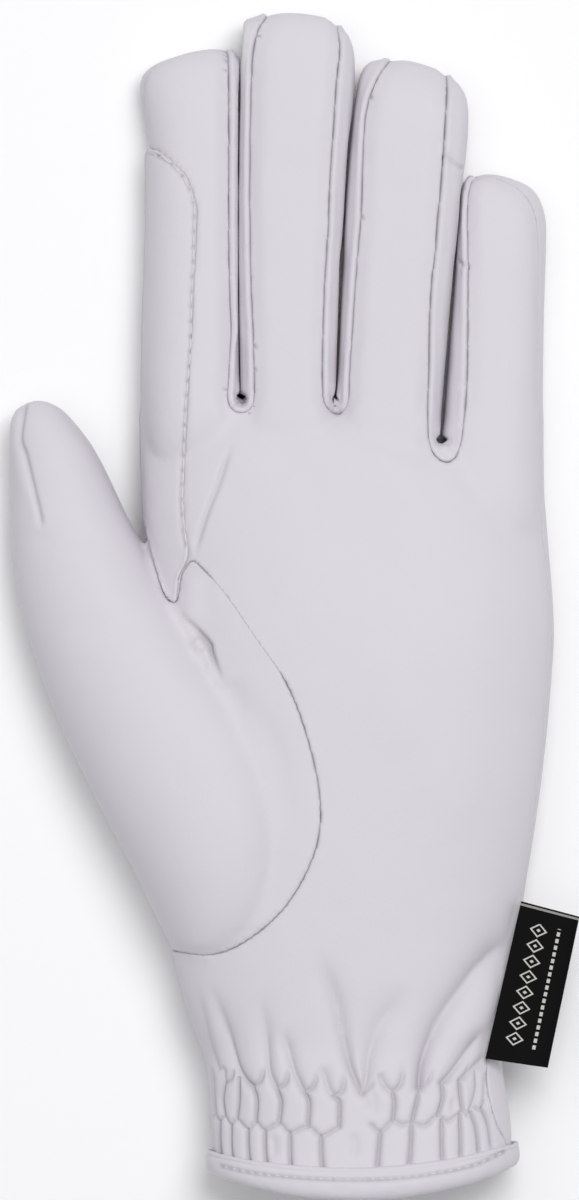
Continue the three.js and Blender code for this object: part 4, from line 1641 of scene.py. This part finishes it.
@dataclass
class ReinPatch:
    """Overlaid reinforcement on the index finger's thumb side, stitched along its edge."""

    seams: SeamPlan
    above_seam: float = 0.4 * MM
    snap_reach: float = 3 * MM
    snap_within: float = 0.9 * MM
    even_rounds: int = 2
    relax_rounds: int = 4
    proud: float = 0.9 * MM
    wall: float = 0.7 * MM
    edge_reach: float = 3 * MM
    edge_round: float = 0.4 * MM
    rim: float = 0.22 * MM
    rim_inset: float = 0.35 * MM
    rim_width: float = 0.25 * MM
    groove: float = 0.3 * MM
    # Painted shade in the stitch groove and in the needle holes
    groove_shade: float = 0.35
    hole: float = 0.35 * MM
    hole_shade: float = 0.75
    swells: tuple = ((0.05 * MM, 3 * MM, 11), (0.08 * MM, 12 * MM, 12))

    def take(self, skin: Object) -> Object:
        """Copies the patch's share of the skin before it is cut.

        Args:
            skin: The whole skin.

        Returns:
            The open sheet.
        """
        points, quads = positions(skin.data), face_corners(skin.data)
        outline = self.seams.patch_outline()
        centres = points[quads].mean(axis=1)
        kept = inside(centres, outline) & (centres[:, 2] > self.seams.level(centres) + self.above_seam)
        kept = without_spurs(kept & ~inside(centres, self.seams.thumb_palm_outline()), quads)
        held = on_border(kept.astype(int), quads, len(points))
        border = np.flatnonzero(held)
        line = line_round(outline)
        for _ in range(2):
            side, _, far = line.measure(points[border], self.snap_reach)
            for axis in (0, 1):
                slope = line.slope(points[border], side, axis, self.snap_reach)
                near = (far < self.snap_within) & (np.abs(slope) < STEEPEST)
                points[border[near], axis] -= side[near] * slope[near]
        points = even_out(points, quads, held, self.even_rounds)
        points = even_out(points, quads, held & at_thumb_fold(points), FOLD_ROUNDS)
        points = relax(points, quads, held, self.relax_rounds)
        return cut_out("rein_patch_skin", points, quads[kept])[0]

    def build(self, sheet: Object) -> Object:
        """Raises the sheet over the finger and rounds its edge.

        Args:
            sheet: The patch's share of the skin.

        Returns:
            The finished patch.
        """
        mesh = sheet.data
        subdivide(sheet, np.ones(len(mesh.vertices), bool))
        points, out = positions(mesh), normals(mesh)
        far = from_edge(points, points[open_edge(mesh)], self.edge_reach)
        rolled = np.clip(1 - far / self.edge_round, 0, 1)
        lift = self.proud - self.edge_round * (1 - np.sqrt(1 - rolled**2))
        drawn, holes = PATCH_STITCHES.marks(points)
        lift -= self.groove * drawn + self.hole * holes
        lift += self.rim * bell(far - self.rim_inset, self.rim_width)
        # Painted shade in the stitch groove and the needle holes
        keep_painted_shade(mesh, np.clip(self.groove_shade * drawn + self.hole_shade * holes, 0, 1))
        lift += noise(points, *self.swells)
        lay(sheet, points + out * lift[:, None])
        give_wall(sheet, self.wall)
        return sheet


@dataclass
class CuffBinding:
    """A strip of the same leather folded over the cuff's edge and stitched down."""

    hand: Hand
    spokes: int = 168
    # Places round the strip: share of its height below its top edge, and millimetres out
    section: tuple = (
        (0.02, 0.25), (-0.02, 0.75), (0.03, 1.2), (0.14, 1.42), (0.2, 1.3), (0.26, 1.3), (0.34, 1.55),
        (0.55, 1.75), (0.8, 1.8), (1.05, 1.65), (1.25, 1.2), (1.38, 0.4), (1.42, -0.6), (1.38, -1.6),
        (1.22, -2.3), (0.95, -2.65), (0.5, -2.7), (0.05, -2.6), (-0.02, -2.1), (0.02, -1.55),
        (0.5, -1.5), (1.0, -1.5), (1.05, -0.6), (1.0, 0.22), (0.5, 0.24),
    )
    ripples: tuple = ((0.10 * MM, 1.9 * MM, 21), (0.16 * MM, 6 * MM, 22))
    facing: tuple = (0.1, 0.4)
    groove: float = 0.3 * MM
    # Painted shade in the stitch groove and in the needle holes
    groove_shade: float = 0.75
    hole_shade: float = 0.6

    def ring(self, share: float, out: float) -> Points:
        """Points round the cuff.

        Args:
            share: Place along the strip, from its top edge to the hem.
            out: Distance from the leather's outer face.

        Returns:
            Rows of x, y and z.
        """
        above, hem = (np.array(row) for row in self.hand.palm.rows[-3:-1])
        ring = self.hand.palm.ring(tuple(above + (hem - above) * share), self.spokes)
        run = np.roll(ring, -1, axis=0) - np.roll(ring, 1, axis=0)
        side = np.column_stack((run[:, 2], np.zeros(len(run)), -run[:, 0]))
        side /= np.linalg.norm(side, axis=1)[:, None]
        side *= np.sign(((ring - ring.mean(axis=0)) * side).sum(axis=1))[:, None]
        return ring + side * out

    def build(self) -> Object:
        """Extrudes the strip's section round by round and closes it."""
        rings = [self.ring(share, out * MM) for share, out in self.section]
        strip = extrude_rings("cuff_binding_strip", rings, True)
        apply_modifier(strip, "SUBSURF", levels=1, render_levels=1)
        points, out = positions(strip.data), normals(strip.data)
        drawn, holes = BINDING_STITCHES.marks(points)
        facing = step(out[:, 2], *self.facing)
        drawn *= facing
        # Painted shade in the stitch groove and needle holes on the upward face
        shade_amount = self.groove_shade * drawn + self.hole_shade * holes * facing
        keep_painted_shade(strip.data, np.clip(shade_amount, 0, 1))
        lift = noise(points, *self.ripples) - self.groove * drawn
        lay(strip, points + out * lift[:, None])
        smooth(strip)
        return strip


@dataclass
class WovenLabel:
    """A folded black loop with its two ends sewn in the side seam.

    Its long wave has a height, half turns down the wrist and a start; its cross wave has a
    height and its turns, in radians, down the wrist and out from the seam.
    """

    corners: tuple = ((521, 901), (578, 916), (546, 1066), (485, 1057))
    level: float = 20.6 * MM
    tilt: float = -0.14
    leaf: float = 0.45 * MM
    fold: float = 0.75 * MM
    fold_power: int = 6
    long_wave: tuple = (0.5 * MM, 1.3, 0.2)
    cross_wave: tuple = (0.25 * MM, 5, 3)
    map_mm: tuple = (11.8, 31.0)
    sharp_angle: float = 40
    columns: int = 48
    rows: int = 60

    def build(self) -> Object:
        """Bends a grid round the fold and gives it its thickness."""
        bpy.ops.mesh.primitive_grid_add(x_subdivisions=self.columns, y_subdivisions=self.rows, size=2)
        label = bpy.context.object
        label.name = "woven_label_loop"
        flat = positions(label.data)
        # u runs from the front leaf's sewn end over the fold to the back leaf's, v down the wrist
        u, v = (flat[:, 0] + 1) / 2, (1 - flat[:, 1]) / 2
        top_seam, top_fold, low_fold, low_seam = seen(list(self.corners))
        out = np.minimum(u, 1 - u) * 2
        seam = top_seam + (low_seam - top_seam) * v[:, None]
        fold = top_fold + (low_fold - top_fold) * v[:, None]
        plan = seam + (fold - seam) * out[:, None]
        bulge = self.fold * np.sqrt(np.clip(1 - out**self.fold_power, 0, 1)) * np.sign(0.5 - u)
        high, turns, start = self.long_wave
        wave = high * np.sin(math.pi * (turns * v + start)) * out
        high, down, outwards = self.cross_wave
        wave += high * np.sin(down * v + outwards * out)
        height = self.level + bulge + wave + self.tilt * (plan[:, 1] - top_seam[1])
        move_to(label.data, np.column_stack((plan, height)))
        layer = label.data.uv_layers.active or label.data.uv_layers.new(name="weave")
        corners = read_numbers(label.data.loops, "vertex_index")
        spread = np.column_stack((out[corners], v[corners])) * self.map_mm
        layer.data.foreach_set("uv", spread.ravel())
        apply_modifier(label, "SOLIDIFY", thickness=self.leaf, offset=0.0, use_rim=True)
        select_only(label)
        bpy.ops.object.shade_smooth_by_angle(angle=math.radians(self.sharp_angle))
        return label


# Finishes


def linear(colour: str) -> tuple[float, float, float, float]:
    """Turns an sRGB hex colour to linear values with full opacity."""
    parts = [int(colour[i:i + 2], 16) / 255 for i in (1, 3, 5)]
    return (*[p / 12.92 if p <= 0.04045 else ((p + 0.055) / 1.055) ** 2.4 for p in parts], 1.0)


def new_material(name: str) -> Material:
    """Starts a material without nodes."""
    material = bpy.data.materials.new(name)
    material.use_nodes = True
    material.node_tree.nodes.clear()
    return material


def add_node(material: Material, kind: str, links: dict, **settings: object):
    """Adds a node to a material.

    Args:
        material: The material that gets it.
        kind: The node's type name after ShaderNode.
        links: Output sockets or plain values by the input's name or number.
        **settings: The node's own properties.

    Returns:
        The node.
    """
    tree = material.node_tree
    node = tree.nodes.new(f"ShaderNode{kind}")
    for name, value in settings.items():
        setattr(node, name, value)
    for name, value in links.items():
        if isinstance(value, NodeSocket):
            tree.links.new(value, node.inputs[name])
        else:
            node.inputs[name].default_value = value
    return node


def surface(material: Material, **values: object) -> Material:
    """Gives a material its shader, by the names of its inputs without their spaces.

    Args:
        material: The material.
        **values: Output sockets or plain values.

    Returns:
        The finished material.
    """
    links = {name.replace("_", " "): value for name, value in values.items()}
    shader = add_node(material, "BsdfPrincipled", links)
    add_node(material, "OutputMaterial", {"Surface": shader.outputs[0]})
    return material


def mixed(material: Material, share: object, first: object, second: object) -> NodeSocket:
    """Mixes two colours.

    Args:
        material: The material that the colours are for.
        share: Socket with the second colour's share.
        first: Colour or socket at share 0.
        second: Colour or socket at share 1.

    Returns:
        The socket with the mixed colour.
    """
    links = {"Factor": share, "A": first, "B": second}
    return add_node(material, "Mix", links, data_type="RGBA").outputs["Result"]


def bumped(material: Material, strength: float, depth_mm: float, height: object) -> NodeSocket:
    """Makes a bump of a height.

    Args:
        material: The material that gets it.
        strength: How much of it shows, up to 1.
        depth_mm: Its depth.
        height: Socket with the height.

    Returns:
        The socket with the normal.
    """
    links = {"Strength": strength, "Distance": depth_mm * MM, "Height": height}
    return add_node(material, "Bump", links).outputs[0]


def add_maths(material: Material, kind: str, first: object, second: object = 0.0) -> NodeSocket:
    """Makes a sum of two values or sockets.

    Args:
        material: The material that gets it.
        kind: The operation.
        first: Value or socket.
        second: Value or socket.

    Returns:
        The socket with the result.
    """
    return add_node(material, "Math", {0: first, 1: second}, operation=kind).outputs[0]


@dataclass(frozen=True)
class SyntheticNappa:
    """White polyurethane leather, embossed with a fine nappa grain and left matt.

    It gives the eye a soft cool white with a faint lilac cast, a wide weak sheen and a grain
    that shows only where the light grazes it, with painted shade in its creases and seams.
    """

    name: str = "synthetic nappa leather"
    base: str = "#DAD5DC"
    shade: str = "#D4D0D7"
    # Painted shade: the grey that creases, seams and stitch holes are darkened towards
    painted_shade: str = "#8F8C92"
    crease_dark: float = 0.5
    roughness: float = 0.55
    roughness_spread: float = 0.05
    cloud_mm: float = 18.0
    grain_mm: float = 0.55
    mottle_grains: float = 2.5
    grain_strength: float = 0.25
    grain_depth_mm: float = 0.06

    def build(self) -> Material:
        """Makes the material."""
        material = new_material(self.name)
        at = add_node(material, "TexCoord", {}).outputs["Object"]
        # Wide clouds in the dye and in the gloss
        clouds = {"Vector": at, "Scale": 1 / (self.cloud_mm * MM), "Detail": 3.0, "Roughness": 0.5}
        cloud = add_node(material, "TexNoise", clouds).outputs["Fac"]
        rough = add_node(material, "MapRange", {
            "Value": cloud, "From Min": 0.3, "From Max": 0.7,
            "To Min": self.roughness - self.roughness_spread,
            "To Max": self.roughness + self.roughness_spread}).outputs[0]
        tint = mixed(material, cloud, linear(self.shade), linear(self.base))
        # Painted shade: creases, seams, grooves and stitch holes are darkened towards a grey by the
        # crease attribute
        crease = add_node(material, "Attribute", {}, attribute_name="crease").outputs["Fac"]
        dull = add_maths(material, "MULTIPLY", crease, self.crease_dark)
        tint = mixed(material, dull, tint, linear(self.painted_shade))
        # The embossed grain
        grain = {"Vector": at, "Scale": 1 / (self.grain_mm * MM), "Randomness": 1.0}
        cells = add_node(material, "TexVoronoi", grain, feature="SMOOTH_F1").outputs["Distance"]
        spots = {"Vector": at, "Scale": 1 / (self.mottle_grains * self.grain_mm * MM), "Detail": 4.0}
        mottle = add_node(material, "TexNoise", spots).outputs["Fac"]
        height = add_maths(material, "ADD", cells, mottle)
        normal = bumped(material, self.grain_strength, self.grain_depth_mm, height)
        return surface(material, Base_Color=tint, Roughness=rough, Normal=normal, IOR=1.46,
                       Specular_IOR_Level=0.35, Sheen_Weight=0.08, Sheen_Roughness=0.5)


@dataclass(frozen=True)
class PolyesterThread:
    """White spun polyester sewing thread, twisted from two plies.

    It gives the eye short ticks in the leather's own colour, with a slight gloss and a twist.
    """

    name: str = "spun polyester sewing thread"
    colour: str = "#D9D4DB"
    # Millimetres to one unit of the wave pattern, which holds a few turns of the twist
    twist_unit_mm: float = 2.1
    twist_strength: float = 0.4
    twist_depth_mm: float = 0.05

    def build(self) -> Material:
        """Makes the material."""
        material = new_material(self.name)
        at = add_node(material, "TexCoord", {}).outputs["Object"]
        twist = {"Vector": at, "Scale": 1 / (self.twist_unit_mm * MM), "Distortion": 1.5}
        ply = add_node(material, "TexWave", twist, bands_direction="DIAGONAL").outputs["Fac"]
        normal = bumped(material, self.twist_strength, self.twist_depth_mm, ply)
        return surface(material, Base_Color=linear(self.colour), Roughness=0.5, Normal=normal,
                       Sheen_Weight=0.2, Sheen_Roughness=0.4)


@dataclass(frozen=True)
class DamaskLabel:
    """Black polyester damask ribbon with a plain light border pattern woven in.

    It gives the eye a deep soft black with fine ribs, and a dull grey motif of diamonds and
    dashes that lies in the same weave. Its sizes are millimetres, as in the label's map.
    """

    name: str = "black woven polyester label"
    ground: str = "#080808"
    figure: str = "#D8D6CF"
    diamond_pitch: float = 3.1
    diamond_middle: float = 4.6
    diamond_half: float = 1.9
    diamond_point: float = 2.1
    ring: tuple = (0.82, 0.12)
    dot: float = 0.24
    dash_middle: float = 8.6
    dash_half: float = 0.32
    dash_pitch: float = 1.35
    dash_share: float = 0.62
    motif: tuple = (3.4, 28.0)
    edge_line: tuple = (0.55, 0.22)
    edge_share: float = 0.55
    # To one unit of the wave pattern, which holds a few ribs
    rib_unit: float = 0.9
    fleck_scale: float = 3.5
    wear: tuple = (0.55, 0.6)
    raised: float = 0.8
    weave_strength: float = 0.5
    weave_depth_mm: float = 0.1

    def build(self) -> Material:
        """Makes the material."""
        material = new_material(self.name)
        maths = partial(add_maths, material)
        uv = add_node(material, "UVMap", {}).outputs["UV"]
        across, along, _ = add_node(material, "SeparateXYZ", {0: uv}).outputs
        drawn = self.pattern(maths, across, along)
        ribs = {"Vector": uv, "Scale": 1 / self.rib_unit, "Distortion": 0.3}
        rib = add_node(material, "TexWave", ribs, bands_direction="Y").outputs["Fac"]
        flecks = {"Vector": uv, "Scale": self.fleck_scale, "Detail": 3.0}
        fleck = add_node(material, "TexNoise", flecks).outputs["Fac"]
        least, spread = self.wear
        worn = maths("ADD", least, maths("MULTIPLY", fleck, spread))
        share = maths("MULTIPLY", drawn, worn)
        tint = mixed(material, share, linear(self.ground), linear(self.figure))
        height = maths("ADD", rib, maths("MULTIPLY", drawn, self.raised))
        normal = bumped(material, self.weave_strength, self.weave_depth_mm, height)
        return surface(material, Base_Color=tint, Roughness=0.7, Normal=normal, Specular_IOR_Level=0.1)

    def pattern(self, maths: partial, across: NodeSocket, along: NodeSocket) -> NodeSocket:
        """Draws the motif.

        Args:
            maths: Adds a sum to the label's material.
            across: Socket with the millimetres across the label.
            along: Socket with the millimetres along it.

        Returns:
            The socket that is above 0 where the light thread shows.
        """

        def near(value: NodeSocket, middle: float, half: float) -> NodeSocket:
            """1 where a value lies no further than half from the middle."""
            off = maths("ABSOLUTE", maths("SUBTRACT", value, middle))
            return maths("LESS_THAN", off, half)

        def repeat(pitch: float) -> NodeSocket:
            """Rises from 0 to 1 with each repeat along the label."""
            return maths("FRACT", maths("DIVIDE", along, pitch))

        # A row of open diamonds with a dot in each
        beside = maths("ABSOLUTE", maths("SUBTRACT", across, self.diamond_middle))
        beyond = maths("ABSOLUTE", maths("SUBTRACT", repeat(self.diamond_pitch), 0.5))
        sloping = maths("MULTIPLY", beyond, self.diamond_point)
        reach = maths("ADD", maths("DIVIDE", beside, self.diamond_half), sloping)
        dot = maths("LESS_THAN", reach, self.dot)
        diamonds = maths("MAXIMUM", near(reach, *self.ring), dot)
        # A thin broken line beside them
        dash = maths("LESS_THAN", repeat(self.dash_pitch), self.dash_share)
        dashes = maths("MULTIPLY", near(across, self.dash_middle, self.dash_half), dash)
        start, end = self.motif
        within = maths("MULTIPLY", maths("GREATER_THAN", along, start), maths("LESS_THAN", along, end))
        drawn = maths("MULTIPLY", maths("MAXIMUM", diamonds, dashes), within)
        # A dull line along the cut edge
        edge = maths("MULTIPLY", near(along, *self.edge_line), self.edge_share)
        return maths("MAXIMUM", drawn, edge)


@dataclass(frozen=True)
class StudioPaper:
    """Matt white background paper, which takes a faint shadow."""

    name: str = "matt studio paper"
    colour: str = "#FDFDFD"

    def build(self) -> Material:
        """Makes the material."""
        return surface(new_material(self.name), Base_Color=linear(self.colour), Roughness=0.9,
                       Specular_IOR_Level=0.2)


# The studio


@dataclass(frozen=True)
class Studio:
    """Floor, lights and the camera above the palm. A light has a name, side, place and watts."""

    floor_size: float = 6.0
    distance: float = 2.5
    aim: tuple = (-0.8 * MM, 1.2 * MM, 17 * MM)
    frame_height: float = 242.6 * MM
    sensor: float = 36.0
    view_depth: float = 20.0
    lights: tuple = (("key", 0.8, (0.3, 0.5, 1.7), 17), ("fill", 1.6, (-0.4, 0.2, 2.0), 7))
    air: str = "#F4F5F8"
    air_strength: float = 0.4

    def build(self) -> None:
        """Makes them all."""
        bpy.ops.mesh.primitive_plane_add(size=self.floor_size)
        floor = bpy.context.object
        floor.name = "floor"
        floor.data.materials.append(StudioPaper().build())
        for light in self.lights:
            self.light(*light)
        world = bpy.data.worlds.new("studio air")
        world.use_nodes = True
        colour, strength = world.node_tree.nodes["Background"].inputs[:2]
        colour.default_value = linear(self.air)
        strength.default_value = self.air_strength
        bpy.context.scene.world = world
        bpy.context.scene.view_settings.view_transform = "Standard"
        self.camera()

    def light(self, name: str, size: float, at: tuple, power: float) -> None:
        """Adds a soft area light that faces the glove.

        Args:
            name: The light's name.
            size: Its side in metres.
            at: Its place.
            power: Watts.
        """
        bpy.ops.object.light_add(type="AREA", location=at)
        lamp = bpy.context.object
        lamp.name = name
        lamp.data.size = size
        lamp.data.energy = power
        lamp.rotation_euler = (-Vector(at)).to_track_quat("-Z", "Y").to_euler()

    def camera(self) -> None:
        """Adds the camera, straight above the palm as in the photograph."""
        bpy.ops.object.camera_add(location=(self.aim[0], self.aim[1], self.aim[2] + self.distance))
        camera = bpy.context.object
        camera.data.sensor_width = self.sensor
        camera.data.lens = self.sensor * self.distance / self.frame_height
        camera.data.clip_end = self.view_depth
        bpy.context.scene.camera = camera


# Putting it together


@dataclass
class Glove:
    """The whole glove, piece by piece."""

    hand: Hand = field(default_factory=Hand)
    seams: SeamPlan = field(default_factory=SeamPlan)

    def build(self) -> None:
        """Makes every piece, rides it on the body and hides the model's parts that it stands for."""
        leather = SyntheticNappa().build()
        thread = PolyesterThread().build()
        cutter = Cutter(self.seams)
        skin = self.hand.build(list(cutter.forks().values()))
        log.info("skin: %d faces", len(skin.data.polygons))
        patch = ReinPatch(self.seams)
        patch_sheet = patch.take(skin)
        ground = []
        for region, sheet in cutter.cut(skin, self.hand).items():
            ground.append(LeatherPiece(region, sheet).build())
            dress(ground[-1], leather, "leather", region.value)
        ground.append(patch.build(patch_sheet))
        dress(ground[-1], leather, "leather", "rein_patch")
        ground.append(CuffBinding(self.hand).build())
        dress(ground[-1], leather, "binding", "cuff_binding")
        dress(WovenLabel().build(), DamaskLabel().build(), "label", "woven_label")
        tree = joined_surface(ground)
        for row in (PATCH_STITCHES, BINDING_STITCHES):
            dress(row.build(tree), thread, "leather")


def joined_surface(pieces: list[Object]) -> BVHTree:
    """One surface of several pieces, to lay stitches on."""
    points, faces = [], []
    for piece in pieces:
        mesh = piece.data
        base = sum(len(rows) for rows in points)
        points.append(positions(mesh))
        faces += [[base + corner for corner in face.vertices] for face in mesh.polygons]
    return BVHTree.FromPolygons(np.vstack(points).tolist(), faces)


def dress(piece: Object, material: Material, slot: str, *nodes: str) -> None:
    """Gives a finished piece its material and body, and hides the model's parts that it stands for."""
    piece.data.materials.clear()
    piece.data.materials.append(material)
    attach(piece, "root")
    if nodes:
        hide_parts(*nodes)
    piece.data.calc_loop_triangles()
    log.info("%s: %d triangles", piece.name, len(piece.data.loop_triangles))


def main() -> None:
    """Builds the glove and its studio."""
    bpy.ops.object.select_all(action="DESELECT")
    Glove().build()
    Studio().build()


if __name__ == "__main__":
    main()
